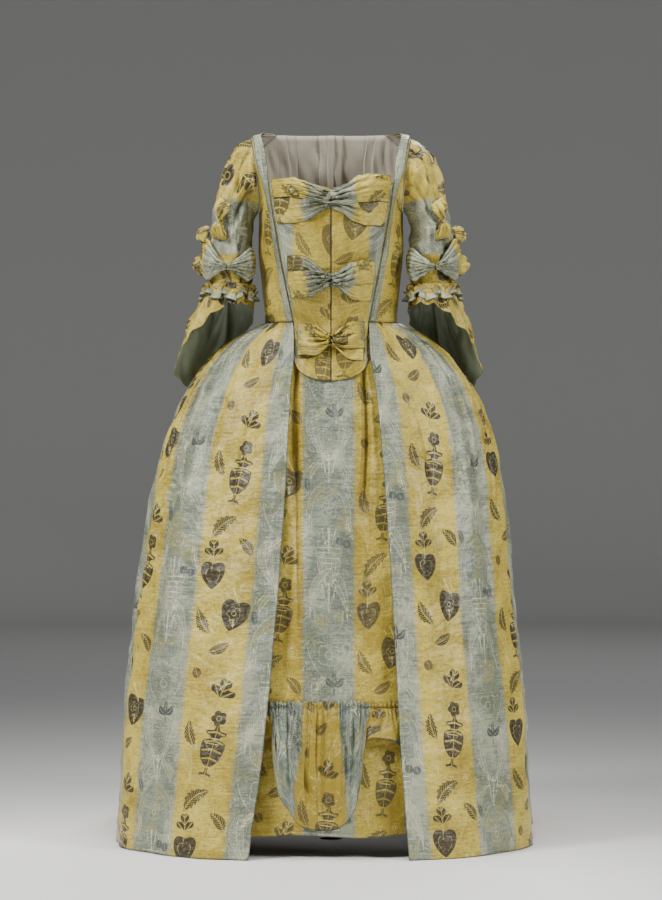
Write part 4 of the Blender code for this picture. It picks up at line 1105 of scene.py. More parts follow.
cloth(
    "petticoat", petticoat, Grid(petticoat_columns, 96), petticoat_silk_painted_shade, silk_back, ring=True,
    out=-1.0, weave=Weave(0.004, 0.14, anchor=0.5, share=1.1), creases=PETTICOAT_FOLDS,
    ripple=Ripple(0.09, 0.0012, 3), sewn={"top": 0.05}, hems=["bottom"],
)

# %% [markdown]
# ## The flounce
# A strip of silk, cut about twice as long as its place, is gathered a little below its top edge, so that a
# narrow heading stands up above the stitches. Its hem is cut in a wide scallop in the middle and pulled up
# at both sides. Even waves would look like a curtain's, so the gathers' spacing is warped, and the fine
# ones run together into a few broad ones below.

# %% Flounce
Hem = namedtuple("Hem", "x height roll")
FLOUNCE_TOP, FLOUNCE_SEAM, FLOUNCE_HALF = 0.262, 0.252, 0.124
FLOUNCE_GATHERS, FLOUNCE_GATHER_DEPTH, FLOUNCE_RAGGED, FLOUNCE_SWAY = 38, 0.0052, 0.0044, 0.0025
STITCHES_REACH, STITCHES_HOLD, HEADING_FROM, HEADING_OVER = 0.0032, 0.88, 0.030, 0.026
BROAD_SHARE, BROAD_DEPTH, FINE_LEAST, FINE_MORE = 1 / 5, 1.5, 0.45, 0.75
GATHERED_BELOW, GATHERED_BY, RAGGED_SHARE = 0.25, 1.4, 0.7
BELLY, ROLL_POWER, SWAY_ACROSS, SWAY_UP = 0.0045, 1.4, 7.0, 3.0
WANDERS, WANDER_SIZES, WANDER_STARTS = (2.3, 5.1, 9.7), (0.4, 1), (0, 6)
FLOUNCE_HEM = rows_of(Hem, [
    (-0.130, 0.170, 0.001),
    (-0.112, 0.198, 0.002),
    (-0.101, 0.197, 0.006),
    (-0.096, 0.150, 0.020),
    (-0.089, 0.112, 0.026),
    (-0.072, 0.082, 0.014),
    (-0.054, 0.057, 0.005),
    (-0.020, 0.048, 0.000),
    (0.004, 0.049, 0.001),
    (0.024, 0.058, 0.007),
    (0.043, 0.086, 0.020),
    (0.052, 0.122, 0.028),
    (0.056, 0.160, 0.022),
    (0.061, 0.197, 0.010),
    (0.074, 0.203, 0.014),
    (0.100, 0.201, 0.020),
    (0.116, 0.192, 0.010),
    (0.130, 0.176, 0.001),
])
flounce_hem, flounce_roll = curves(FLOUNCE_HEM, "x", "height", "roll")


def uneven(share, count, seed, amount=0.9):
    """Waves from 0 to 1 whose spacing wanders."""
    random = np.random.default_rng(seed)
    wander = 0
    for turns in WANDERS:
        size = random.uniform(*WANDER_SIZES)
        wander = wander + size * np.sin(TURN * turns * share + random.uniform(*WANDER_STARTS))
    return 0.5 - 0.5 * np.cos(TURN * count * share + amount * wander)


def petticoat_flounce(u, v):
    x = mixed(-FLOUNCE_HALF, FLOUNCE_HALF, u)
    ragged = FLOUNCE_RAGGED * (uneven(u, FLOUNCE_GATHERS * RAGGED_SHARE, seed=6, amount=1.6) - 0.5)
    height = mixed(flounce_hem(x), FLOUNCE_TOP + ragged, v)
    at_seam = np.exp(-(((height - FLOUNCE_SEAM) / STITCHES_REACH) ** 2))
    fine = uneven(u, FLOUNCE_GATHERS, seed=4, amount=1.6)
    broad = uneven(u, FLOUNCE_GATHERS * BROAD_SHARE, seed=9, amount=1.8)
    near_top = eased((height - FLOUNCE_SEAM + HEADING_FROM) / HEADING_OVER)
    gathers = mixed(broad * BROAD_DEPTH, fine * (FINE_LEAST + FINE_MORE * broad), near_top)
    gathers = FLOUNCE_GATHER_DEPTH * gathers * mixed(GATHERED_BELOW, 1, eased(v * GATHERED_BY))
    fall = 1 - v
    roll = flounce_roll(x) * fall**ROLL_POWER
    out = LAYER_GAP * 1.5 + (gathers + BELLY * eased(fall * 4) + roll) * (1 - STITCHES_HOLD * at_seam)
    points = form_front(x, height, -LAYER_GAP + out)
    points[..., 0] += FLOUNCE_SWAY * np.sin(SWAY_ACROSS * u + SWAY_UP * v) * eased(fall * 2)
    return points


FLOUNCE_FOLDS = rows_of(Crease, [
    (0.082, 0.020, 0.104, 0.205, 0.010, 0.0120, 0.0085),
    (0.100, 0.010, 0.120, 0.200, 0.006, 0.0120, -0.0030),
    (0.150, 0.090, 0.142, 0.200, -0.003, 0.0160, 0.0030),
    (0.178, 0.110, 0.168, 0.200, 0.003, 0.0140, -0.0020),
    (0.232, 0.040, 0.206, 0.205, 0.005, 0.0110, 0.0085),
    (0.220, 0.030, 0.196, 0.205, 0.005, 0.0080, -0.0070),
    (0.268, 0.030, 0.246, 0.190, -0.008, 0.0110, 0.0060),
    (0.290, 0.020, 0.262, 0.190, -0.004, 0.0090, -0.0040),
    (0.060, 0.030, 0.082, 0.190, 0.004, 0.0100, 0.0060),
    (0.046, 0.030, 0.062, 0.190, 0.000, 0.0090, -0.0040),
])
cloth(
    "petticoat_flounce", petticoat_flounce, Grid(416, 44), flounce_silk_painted_shade, silk_back,
    wall=FINE_CLOTH, weave=Weave(0.0985, 0.22, anchor=0.428), creases=FLOUNCE_FOLDS,
    ripple=Ripple(0.045, 0.0010, 8), sewn={"top": 0.035}, hems=["left", "right", "bottom"],
)

# %% [markdown]
# ## The gown's skirts
# Each front of the skirt is pleated to the bodice at the hip and falls open in long flutes. The stripes
# follow the cloth's own columns, so they narrow towards the waist as the pleats take them in. The creases
# are longest near the front edge, where the cloth hangs free.

# %% Gown skirts
SKIRT_TOP = WAIST - 0.0022
WAIST_PLEATS, WAIST_PLEAT_DEPTH = 8, 0.0070
PLEATS_FROM, PLEATS_TO, PLEATS_END = 0.34, 0.96, 0.42
FLUTES, FLUTE_DEPTH, FLUTES_END = 2.5, 0.008, 1.3
SWAY, SWAY_ASIDE = 0.012, 0.30


def gown_skirt(u, v):
    """From the front edge to the side back seam, v 0 at the hem and 1 at the waist."""
    height = SKIRT_TOP * v
    start = angle_at(front_edge_x(height), gown_sizes(height)[0])
    end = np.radians(side_back_degrees(height))
    in_pleats = np.clip((u - PLEATS_FROM) / (PLEATS_TO - PLEATS_FROM), 0, 1)
    ends = np.sin(math.pi * in_pleats) ** 0.5
    pleats = WAIST_PLEAT_DEPTH * pleat_wave(in_pleats, WAIST_PLEATS) * ends
    pleats = pleats * eased((v - 1 + PLEATS_END) / PLEATS_END)
    flutes = FLUTE_DEPTH * pleat_wave(u, FLUTES) * (1 - eased(v * FLUTES_END)) * np.sin(math.pi * u) ** 0.5
    return gown_ring(mixed(start, end, u), height, pleats + flutes)


def swaying_skirt(side):
    """The same skirt, its front edge hung a little towards the wearer's left halfway down."""

    def drape(u, v):
        points = gown_skirt(u, v)
        in_front = 1 - eased(np.abs(points[..., 0]) / SWAY_ASIDE)
        points[..., 0] += side * SWAY * np.sin(math.pi * v) * in_front
        return points

    return drape


SKIRT_FOLDS = rows_of(Crease, [
    (0.012, 0.020, 0.012, 0.880, 0.000, 0.0040, 0.0012),
    (0.076, 0.800, 0.094, 0.610, 0.001, 0.0042, -0.0042),
    (0.052, 0.700, 0.062, 0.240, 0.006, 0.0200, 0.0050),
    (0.105, 0.780, 0.120, 0.300, -0.006, 0.0240, -0.0045),
    (0.160, 0.820, 0.185, 0.180, 0.008, 0.0260, 0.0060),
    (0.215, 0.760, 0.238, 0.200, -0.006, 0.0220, -0.0050),
    (0.275, 0.820, 0.300, 0.060, 0.010, 0.0280, 0.0062),
    (0.335, 0.700, 0.350, 0.120, -0.008, 0.0240, -0.0055),
    (0.390, 0.800, 0.405, 0.050, 0.006, 0.0260, 0.0055),
    (0.130, 0.872, 0.150, 0.640, 0.004, 0.0090, 0.0036),
    (0.195, 0.876, 0.205, 0.600, -0.003, 0.0085, -0.0034),
    (0.250, 0.874, 0.262, 0.560, 0.004, 0.0090, 0.0038),
    (0.030, 0.420, 0.160, 0.470, 0.006, 0.0090, 0.0012),
    (0.190, 0.350, 0.300, 0.330, -0.004, 0.0100, -0.0011),
    (0.060, 0.150, 0.150, 0.120, 0.004, 0.0110, 0.0012),
    (0.100, 0.560, 0.210, 0.590, 0.004, 0.0080, -0.0010),
    (0.020, 0.620, 0.110, 0.600, 0.004, 0.0070, 0.0010),
])
for word, side in SIDES.items():
    folds = SKIRT_FOLDS if side == LEFT else varied(SKIRT_FOLDS, seed=21)
    cloth(
        f"gown_skirt_{word}", swaying_skirt(side), Grid(200, 120), striped_silk, silk_back, side,
        weave=Weave(0.0065, 0.02 if side == LEFT else 0.33), creases=folds,
        ripple=Ripple(0.08, 0.0016, 30 + int(side)), sewn={"top": 0.03, "right": 0.03},
        hems=["left", "bottom"],
    )

# %% [markdown]
# ## The sack back
# Two stacked box pleats on each side of the centre fall from the neck to the train without a seam at the
# waist. Each fold line is a row of one table, with its place at the neck and at the hem and how many layers
# it stands on. The rows of points are worked out one by one, because a share of a row's own length has to
# be measured along it.

# %% Sack back
Sack = namedtuple("Sack", "along centre_height back square shoulder spread level_depth")
SACK = rows_of(Sack, [
    (0.00, 1.2560, 0.064, 2.8, 1.0, 0.00, 0.0030),
    (0.06, 1.1950, 0.078, 3.0, 0.6, 0.00, 0.0045),
    (0.12, 1.1400, 0.094, 3.0, 0.2, 0.00, 0.0065),
    (0.20, 1.0700, 0.118, 2.9, 0.0, 0.00, 0.0090),
    (0.30, 0.9800, 0.148, 2.6, 0.0, 0.01, 0.0120),
    (0.38, 0.9000, 0.177, 2.5, 0.0, 0.02, 0.0150),
    (0.50, 0.7600, 0.240, 2.4, 0.0, 0.04, 0.0190),
    (0.70, 0.5000, 0.365, 2.4, 0.0, 0.08, 0.0250),
    (0.88, 0.2200, 0.480, 2.4, 0.0, 0.12, 0.0290),
    (1.00, 0.0000, 0.570, 2.4, 0.0, 0.15, 0.0310),
])
ARMHOLE_TO, WAIST_AT = 0.13, 0.38
Fold = namedtuple("Fold", "at_neck at_hem level")
SACK_FOLDS = rows_of(Fold, [
    (0.000, 0.000, 0.0),
    (0.025, 0.020, 0.0),
    (0.045, 0.065, 1.0),
    (0.120, 0.110, 1.0),
    (0.140, 0.155, 2.0),
    (0.260, 0.215, 2.1),
    (0.400, 0.290, 2.0),
    (0.420, 0.335, 1.0),
    (0.500, 0.390, 1.0),
    (0.520, 0.440, 0.0),
    (0.600, 0.530, 0.0),
    (0.690, 0.640, 0.25),
    (0.790, 0.760, 0.0),
    (0.900, 0.880, 0.2),
    (1.000, 1.000, 0.0),
])
SOFT_FOLDS_FROM, BACK_SAMPLES, FALLS_FROM = 10.5, 48, 0.715
LAP, LAP_ASIDE, LAP_BELOW = CLOTH + LAYER_GAP, 0.7, 0.8
OPENS_BY, RISES, SOFT_BY = 1.1, 1.25, 3
sack_curves = curves(SACK, "along", "centre_height", "back", "square", "shoulder", "spread", "level_depth")


def side_back(height):
    return gown_ring(np.radians(side_back_degrees(height)), height)


def sack_side(along):
    """The sack's edge: round the back of the armhole, then lapped over the side back seam to the hem."""
    top = armhole(SIDE_SEAM_ANGLE)
    if along <= ARMHOLE_TO:
        share = along / ARMHOLE_TO
        edge = armhole(mixed(SHOULDER_SEAM_ANGLE, SIDE_SEAM_ANGLE - TURN, share))
        return edge + (0.0, LAP * eased(share * 4 - 3), 0.0)
    share = (along - ARMHOLE_TO) / (WAIST_AT - ARMHOLE_TO)
    if share <= 1:
        slip = top - side_back(SIDE_SEAM_TOP)
        edge = side_back(mixed(SIDE_SEAM_TOP, WAIST, share)) + slip * (1 - share) ** 3
        return edge + (LAP * LAP_ASIDE * eased(share * 4), LAP, 0.0)
    height = mixed(WAIST, 0.0, (along - WAIST_AT) / (1 - WAIST_AT))
    return side_back(height) + (LAP * LAP_BELOW, LAP, 0.0)


def sack_base(along):
    """One row of the sack from its centre to its side, before it is pleated."""
    edge = sack_side(along)
    centre_height, back, square, shoulder, spread, _ = (read(along) for read in sack_curves)
    turn = np.linspace(0, math.pi / 2, BACK_SAMPLES + 1)
    share = np.sin(turn) ** (2 / square)
    x = edge[0] * share * (1 + spread * np.sin(2 * turn))
    y = edge[1] + (back - edge[1]) * np.maximum(np.cos(turn), 0.0) ** (2 / square)
    fall = mixed(share**2, np.clip((share - FALLS_FROM) / (1 - FALLS_FROM), 0, 1), shoulder)
    return at(x, y, mixed(centre_height, edge[2] + ORIGIN_HEIGHT, fall))


print(f"the sack trails to {SACK[-1].back} m behind the shoulders before its pleats")

# %% Sack rows
def sack_row(u, along):
    count = len(SACK_FOLDS) - 1
    line = np.abs(2 * u - 1) * count
    i = np.minimum(line.astype(int), count - 1)
    opened = eased(along * OPENS_BY)
    at_lines = np.array([mixed(fold.at_neck, fold.at_hem, opened) for fold in SACK_FOLDS])
    levels = np.array([fold.level for fold in SACK_FOLDS])
    share = mixed(at_lines[i], at_lines[i + 1], line - i)
    rise = eased(RISES * (line - i) - (RISES - 1) / 2)
    level = mixed(levels[i], levels[i + 1], rise)
    level = np.where(line > SOFT_FOLDS_FROM, level * eased(along * SOFT_BY), level)
    base = sack_base(along)
    gone = np.concatenate([[0.0], np.cumsum(np.linalg.norm(np.diff(base, axis=0), axis=1))])
    points = np.stack([np.interp(share * gone[-1], gone, base[:, axis]) for axis in range(3)], axis=-1)
    ways = np.gradient(base, gone, axis=0)
    across = np.stack([np.interp(share * gone[-1], gone, ways[:, axis]) for axis in range(2)], axis=-1)
    across /= np.linalg.norm(across, axis=1, keepdims=True)
    depth = sack_curves[-1](along) * level
    points[:, 0] -= across[:, 1] * depth
    points[:, 1] += across[:, 0] * depth
    points[:, 0] *= np.where(u < 0.5, 1.0, -1.0)
    return points


def sack(u, v):
    return np.stack([sack_row(row, 1 - height) for row, height in zip(u, v[:, 0])])


SACK_CREASES = rows_of(Crease, [
    (0.24, 0.05, 0.26, 0.62, 0.010, 0.0280, 0.0060),
    (0.36, 0.02, 0.40, 0.55, -0.008, 0.0260, -0.0050),
    (0.50, 0.10, 0.52, 0.80, 0.006, 0.0200, 0.0040),
    (0.66, 0.04, 0.65, 0.60, -0.006, 0.0240, -0.0045),
    (0.82, 0.06, 0.79, 0.86, 0.006, 0.0200, 0.0042),
    (0.98, 0.02, 0.95, 0.50, 0.008, 0.0280, -0.0050),
    (1.10, 0.05, 1.07, 0.64, -0.010, 0.0280, 0.0060),
    (0.30, 0.30, 0.52, 0.36, 0.010, 0.0120, 0.0014),
    (0.72, 0.44, 0.98, 0.40, -0.010, 0.0120, -0.0014),
    (0.56, 0.70, 0.68, 0.73, 0.004, 0.0090, 0.0010),
    (0.60, 0.16, 0.86, 0.20, 0.006, 0.0140, 0.0013),
])
cloth(
    "gown_sack_back", sack, Grid(308, 110), striped_silk, linen, out=-1.0,
    weave=Weave(0.0, 0.07, anchor=0.5), creases=SACK_CREASES, ripple=Ripple(0.09, 0.0017, 40),
    sewn={"top": 0.03, "left": 0.03, "right": 0.03}, hems=["bottom"],
)

# %% [markdown]
# ## The bodice
# Each front of the bodice lies on the stays from the front edge to the side seam, and then crosses the
# shoulder as a strap. Two edges are known at every share of the height, so the cloth is drawn between them:
# round the form below the arm, and straight across at the strap.

# %% Bodice
EDGE_SHARE, ARMHOLE_STARTS = 0.62, 0.50
STRAP_BOW, STRAP_BOW_FROM, STRAP_BOW_OVER, STRAP_RISE = 0.006, 0.6, 0.3, 0.002
SEAM_FROM, ACROSS_FROM, ACROSS_OVER, BEHIND = 0.82, 0.42, 0.33, 0.001
EVERY_EDGE = ("left", "right", "top", "bottom")


def bodice_front_edge(v):
    """Up the gown's front edge to the top of the closed front, then along the neck."""
    v = np.asarray(v, float)
    level = mixed(WAIST, NECK_START, np.clip(v / EDGE_SHARE, 0, 1))
    low = form_front(front_edge_x(level) + SEAM_GAP / 2, level)
    along = np.clip((v - EDGE_SHARE) / (1 - EDGE_SHARE), 0, 1)
    start = form_front(front_edge_x(NECK_START) + SEAM_GAP / 2, NECK_START)
    slip = start - at(*NECK_EDGE[0][1:])
    high = at(*(read(along) for read in neck_curves)) + slip * (1 - eased(along * 2))[..., None]
    return np.where((v <= EDGE_SHARE)[..., None], low, high)


def bodice_side(v):
    """Up the side seam under the arm, then round the front of the armhole and over the shoulder."""
    v = np.asarray(v, float)
    share = np.clip(v / ARMHOLE_STARTS, 0, 1)
    top = armhole(ARMPIT)
    slip = top - form(math.pi / 2, heights(top))
    low = form(math.pi / 2, mixed(WAIST, heights(top), share)) + slip * share[..., None] ** 3
    high = armhole(mixed(ARMPIT, SHOULDER_SEAM_ANGLE, (v - ARMHOLE_STARTS) / (1 - ARMHOLE_STARTS)))
    return np.where((v <= ARMHOLE_STARTS)[..., None], low, high)


print(f"the strap starts {MM * NECK_START:.0f} mm above the floor")

# %% Bodice surfaces
def shoulder_seam(u):
    edge, side = bodice_front_edge(1.0), armhole(SHOULDER_SEAM_ANGLE)
    back, square = SACK[0].back, SACK[0].square
    x = mixed(edge[0], side[0], u)
    turn = np.arcsin(np.clip(x / side[0], 0, 1) ** (square / 2))
    y = side[1] + (back - side[1]) * np.maximum(np.cos(turn), 0) ** (2 / square)
    return np.stack([x, y - SEAM_GAP * 1.5, mixed(edge[2], side[2], u)], axis=-1)


def form_turn(points, level):
    """The angle round the form of points that lie on it."""
    angle = angle_at(points[..., 0], form_curves[0](level))
    return np.where(points[..., 1] > BEHIND, math.pi - angle, angle)


def bodice_front(u, v):
    """From the front edge round to the side."""
    u, v = as_arrays(u, v)
    edge, side = bodice_front_edge(v), bodice_side(v)
    turn_a, turn_b = form_turn(edge, heights(edge)), form_turn(side, heights(side))
    on_form = form(mixed(turn_a, turn_b, u), mixed(heights(edge), heights(side), u))
    on_form += (edge - form(turn_a, heights(edge))) * (1 - u)[..., None]
    on_form += (side - form(turn_b, heights(side))) * u[..., None]
    across = blended(edge, side, u)
    across[..., 1] -= STRAP_BOW * np.sin(math.pi * u) * (1 - eased((v - STRAP_BOW_FROM) / STRAP_BOW_OVER))
    across[..., 2] += STRAP_RISE * np.sin(math.pi * u)
    seam = shoulder_seam(u) - blended(bodice_front_edge(1.0), bodice_side(1.0), u)
    across += seam * eased((v - SEAM_FROM) / (1 - SEAM_FROM))[..., None]
    return blended(on_form, across, eased((v - ACROSS_FROM) / ACROSS_OVER))


def bodice_side_back(u, v):
    """The small piece between the side seam and the sack."""
    top = armhole(mixed(ARMPIT, SIDE_SEAM_ANGLE, u))
    level = mixed(WAIST, heights(top), v)
    angle = mixed(math.pi / 2, np.radians(side_back_degrees(level)), u)
    top_angle = mixed(math.pi / 2, math.radians(SIDE_BACK_SEAM[-1].angle), u)
    points = form(angle, level) + (top - form(top_angle, heights(top))) * v[..., None] ** 3
    points[..., 1] += SEAM_GAP * (1 - u)
    return points


BODICE_CREASES = rows_of(Crease, [
    (0.028, 0.030, 0.095, 0.110, 0.004, 0.0080, 0.0011),
    (0.034, 0.120, 0.090, 0.195, 0.004, 0.0085, -0.0010),
    (0.030, 0.200, 0.070, 0.250, -0.003, 0.0070, 0.0012),
    (0.050, 0.020, 0.060, 0.130, 0.003, 0.0065, -0.0009),
    (0.025, 0.270, 0.050, 0.330, 0.002, 0.0070, 0.0010),
])
SIDE_BACK_CREASES = rows_of(Crease, [
    (0.010, 0.040, 0.050, 0.090, 0.002, 0.0080, 0.0010),
    (0.015, 0.120, 0.045, 0.170, 0.002, 0.0070, -0.0009),
])
for word, side in SIDES.items():
    cloth(
        f"bodice_front_{word}", bodice_front, Grid(48, 96), bodice_silk, linen, side,
        weave=Weave(0.060, 0.11 if side == LEFT else 0.35),
        creases=varied(BODICE_CREASES, seed=50 + int(side), shift=0.003),
        ripple=Ripple(0.04, 0.0004, 60 + int(side)),
        sewn={"left": 0.02, "right": 0.02, "top": 0.01, "bottom": 0.01},
    )
    cloth(
        f"bodice_side_back_{word}", bodice_side_back, Grid(20, 48), bodice_silk, linen, side,
        weave=Weave(0.040, 0.30), creases=varied(SIDE_BACK_CREASES, seed=54 + int(side), shift=0.003),
        ripple=Ripple(0.04, 0.0003, 64 + int(side)), sewn={edge: 0.01 for edge in EVERY_EDGE},
    )

# %% [markdown]
# ## The robings
# A robing is a strip folded back along the front edge and over the shoulder. It covers the raw edge of the
# bodice, so it lies just on the bodice's own surface, along the normals, and takes its width from the strap
# where that is narrow.

# %% Robings
ROBING_AT_WAIST, ROBING_AT_SHOULDER, STRAP_SHARE, STRAP_EASE = 0.0115, 0.0160, 0.80, 0.0012
ROBING_WIDENS, ROBING_TURN, STRAP_EASE_OVER, STEP = 1.5, 0.01, 0.1, 1e-3


def normal_of(surface, u, v, ring=False):
    """The way a surface faces. On a ring u runs on past its ends."""
    before, after = (u - STEP) % 1.0, (u + STEP) % 1.0
    if not ring:
        before, after = np.maximum(u - STEP, 0.0), np.minimum(u + STEP, 1.0)
    across = surface(after, v) - surface(before, v)
    along = surface(u, np.minimum(v + STEP, 1.0)) - surface(u, np.maximum(v - STEP, 0.0))
    normal = np.cross(across, along)
    return normal / np.linalg.norm(normal, axis=-1, keepdims=True)


def robing(u, v):
    width = np.linalg.norm(bodice_front(1.0, v) - bodice_front(0.0, v), axis=-1)
    wide = mixed(ROBING_AT_WAIST, ROBING_AT_SHOULDER, eased(v * ROBING_WIDENS))
    share = np.minimum(wide / width, STRAP_SHARE) * mixed(ROBING_TURN, 1.0, u)
    out = CLOTH + LAYER_GAP + STRAP_EASE * eased((v - EDGE_SHARE) / STRAP_EASE_OVER)
    return bodice_front(share, v) + normal_of(bodice_front, share, v) * out[..., None]


ROBING_CREASES = rows_of(Crease, [
    (0.0030, 0.020, 0.0030, 0.330, 0.000, 0.0030, 0.0007),
    (0.0120, 0.010, 0.0135, 0.340, 0.000, 0.0030, 0.0005),
])
for word, side in SIDES.items():
    cloth(
        f"robing_{word}", robing, Grid(12, 120), robing_silk, silk_back, side, wall=FINE_CLOTH,
        weave=Weave(-0.0105, 0.05 if side == LEFT else 0.27), creases=ROBING_CREASES,
        ripple=Ripple(0.05, 0.0003, 70 + int(side)), hems=["left", "right"],
    )

# %% [markdown]
# ## The closed front
# The two halves of the front, the compere, are stiffened and meet at a slit. They end below the waist in
# rounded tabs over the petticoat. They are cut straight, so their stripes are measured from the slit along
# each row.

# %% Closed front
SLIT_HALF, TAB_SHARE, TAB_EASE, TAB_LIFT = 0.0008, 0.28, 0.0016, 0.0008
TAB_FREE, TAB_STARTS, LIFT_OVER = 0.90, 0.925, 0.03
Tab = namedtuple("Tab", "share height")
COMPERE_LOWER = [Tab(0.00, 0.809), Tab(0.35, 0.812), Tab(0.70, 0.821), Tab(0.90, 0.834), Tab(1.00, 0.848)]
COMPERE_UPPER = [Tab(0.00, 1.1450), Tab(0.30, 1.1520), Tab(1.00, 1.1595)]
lower_edge, upper_edge = curve(COMPERE_LOWER, "share", "height"), curve(COMPERE_UPPER, "share", "height")


def compere(u, v):
    """One half, on the form, easing in beside the skirt's edge below the waist."""
    tab = mixed(lower_edge(u), WAIST, v / TAB_SHARE)
    body = mixed(WAIST, upper_edge(u), (v - TAB_SHARE) / (1 - TAB_SHARE))
    height = np.where(v > TAB_SHARE, body, tab)
    ease = TAB_EASE * (1 - eased((height - TAB_FREE) / (TAB_STARTS - TAB_FREE)))
    outer = front_edge_x(height) - SEAM_GAP / 2 - ease
    over_waist = TAB_LIFT * (1 - eased((height - WAIST) / LIFT_OVER))
    return form_front(mixed(SLIT_HALF, outer, u), height, over_waist)


COMPERE_CREASES = rows_of(Crease, [
    (0.0025, 0.010, 0.0025, 0.340, 0.000, 0.0022, 0.0006),
    (0.010, 0.090, 0.058, 0.110, 0.003, 0.0070, -0.0010),
    (0.012, 0.150, 0.062, 0.132, -0.003, 0.0070, 0.0010),
    (0.020, 0.205, 0.075, 0.222, 0.003, 0.0070, 0.0009),
    (0.036, 0.020, 0.030, 0.080, 0.002, 0.0070, 0.0010),
])
for word, side in SIDES.items():
    cloth(
        f"compere_{word}", compere, Grid(40, 100), bodice_silk, linen, side,
        weave=Weave(0.0805, 0.17 if side == LEFT else 0.02, anchor=0.0), creases=COMPERE_CREASES,
        ripple=Ripple(0.035, 0.0004, 80 + int(side)), sewn={"left": 0.004, "right": 0.012, "bottom": 0.006},
        hems=EVERY_EDGE,
    )

# %% [markdown]
# ## The bows
# The three bows get smaller towards the waist. Each is two crossing ribbons, pinched at the slit and puffed
# at their ends. A ribbon could be a closed loop, but its back is never seen, so one sheet bulges out as its
# upper layer does. Folds start deep at the pinch and fade towards the loops, and no two are alike.

# %% Bows
Ribbon = namedtuple(
    "Ribbon",
    "name half_span pinch pinch_height right_end right_height left_end left_height stand puff across share",
    defaults=(1.0,),
)
RIBBONS = rows_of(Ribbon, [
    ("bow_top_under", 0.1000, 1.120, 0.020, 1.111, 0.052, 1.104, 0.046, 0.0000, 0.0022, 0.006),
    ("bow_top_over", 0.1040, 1.130, 0.022, 1.148, 0.032, 1.147, 0.048, 0.0020, 0.0095, 0.000),
    ("bow_middle_under", 0.0765, 0.986, 0.018, 1.012, 0.034, 0.967, 0.034, 0.0000, 0.0020, 0.010),
    ("bow_middle_over", 0.0765, 0.986, 0.022, 0.979, 0.046, 1.000, 0.039, 0.0019, 0.0095, 0.000),
    ("bow_low_under", 0.0570, 0.880, 0.018, 0.873, 0.044, 0.866, 0.040, 0.0014, 0.0016, 0.0985, 0.74),
    ("bow_low_over", 0.0585, 0.882, 0.018, 0.883, 0.056, 0.891, 0.048, 0.0034, 0.0105, 0.0985, 0.74),
])
BOW_FOLDS, BOW_FOLD_DEPTH, BOW_FULLER, BOW_FROM_EDGE, BOWS_CUT_APART = 5.0, 0.0095, 1.5, 0.0035, 0.13
FULL_PUFF, FULL_STAND, KNOT_RISE = 0.005, 0.0018, 0.0015
TALL_BY, END_BY, PUFF_TO, PUFF_POWER, PUFF_ROUND = 2, 1.4, 1.04, 0.7, 0.75
PINCH_FADES, PINCH_LEAST, PINCH_STARTS, FOLDS_FAR, FOLDS_FLAT = 1.15, 0.4, 5, 0.10, 0.1


def bow_ribbon(ribbon, seed):
    def drape(u, v):
        across, up = 2 * u - 1, 2 * v - 1
        spread = np.abs(across)
        end = np.where(across < 0, ribbon.right_end, ribbon.left_end)
        tall = np.where(across < 0, ribbon.right_height, ribbon.left_height)
        tall = mixed(ribbon.pinch_height, tall, eased(spread * TALL_BY))
        height = mixed(ribbon.pinch, end, eased(spread * END_BY)) + up * tall / 2
        x = across * np.minimum(ribbon.half_span, front_edge_x(height) - BOW_FROM_EDGE)
        puff = BOW_FULLER * ribbon.puff * np.sin(math.pi * np.clip(spread * PUFF_TO, 0, 1)) ** PUFF_POWER
        puff = puff * (1 - PUFF_ROUND * up**2)
        near_pinch = (1 - eased(spread * PINCH_FADES)) * (PINCH_LEAST + eased(spread * PINCH_STARTS))
        each_side = np.where(across < 0, uneven(v, BOW_FOLDS, seed), uneven(v, BOW_FOLDS - 1, seed + 1))
        pleats = BOW_FOLD_DEPTH * each_side * (near_pinch + FOLDS_FAR)
        pleats = pleats * min(1.0, ribbon.puff / FULL_PUFF + FOLDS_FLAT)
        knot = KNOT_RISE * (1 - eased(spread * 3)) * min(1.0, ribbon.stand / FULL_STAND)
        points = form_front(np.abs(x), height, CLOTH + LAYER_GAP + ribbon.stand + knot + puff + pleats)
        points[..., 0] = x
        return points

    return drape


for number, ribbon in enumerate(RIBBONS):
    cloth(
        ribbon.name, bow_ribbon(ribbon, seed=90 + number), Grid(100, 48), bow_silk, bow_silk,
        wall=FINE_CLOTH, weave=Weave(ribbon.across, BOWS_CUT_APART * number, anchor=0.5, share=ribbon.share),
        ripple=Ripple(0.026, 0.0012, 100 + number), hems=EVERY_EDGE,
    )

# %% [markdown]
# ## The sleeves
# A sleeve is a short wide tube, set into the armhole with its fullness at the top and narrowed at the
# elbow. The stripes run round the arm, because the silk is turned for it. It is one ring lofted through a
# table, with long slanting folds, since nobody's arm fills it.

# %% Sleeves
SLEEVE_GAP = CLOTH + LAYER_GAP
SleeveRing = namedtuple("SleeveRing", "along outer_x outer_height inner_x inner_height depth y")
SLEEVE = rows_of(SleeveRing, [
    (0.00, 0.1425, 1.2420, 0.1265, 1.1140, 0.0500, -0.004),
    (0.12, 0.1690, 1.2270, 0.1330, 1.1060, 0.0520, -0.004),
    (0.24, 0.1860, 1.1950, 0.1360, 1.0980, 0.0520, -0.004),
    (0.38, 0.2000, 1.1500, 0.1385, 1.0860, 0.0510, -0.004),
    (0.54, 0.2120, 1.0950, 0.1395, 1.0650, 0.0500, -0.005),
    (0.70, 0.2185, 1.0540, 0.1400, 1.0380, 0.0500, -0.008),
    (0.86, 0.2210, 1.0180, 0.1405, 1.0090, 0.0490, -0.012),
    (1.00, 0.2185, 0.9860, 0.1425, 0.9830, 0.0470, -0.016),
])
SLEEVE_PUCKERS, SLEEVE_PUCKER_DEPTH, PUCKERS_FROM, PUCKERS_OVER = 5, 0.0016, 0.55, 0.3
SET_IN = 0.12
sleeve_curves = curves(SLEEVE, "along", *SleeveRing._fields[1:])


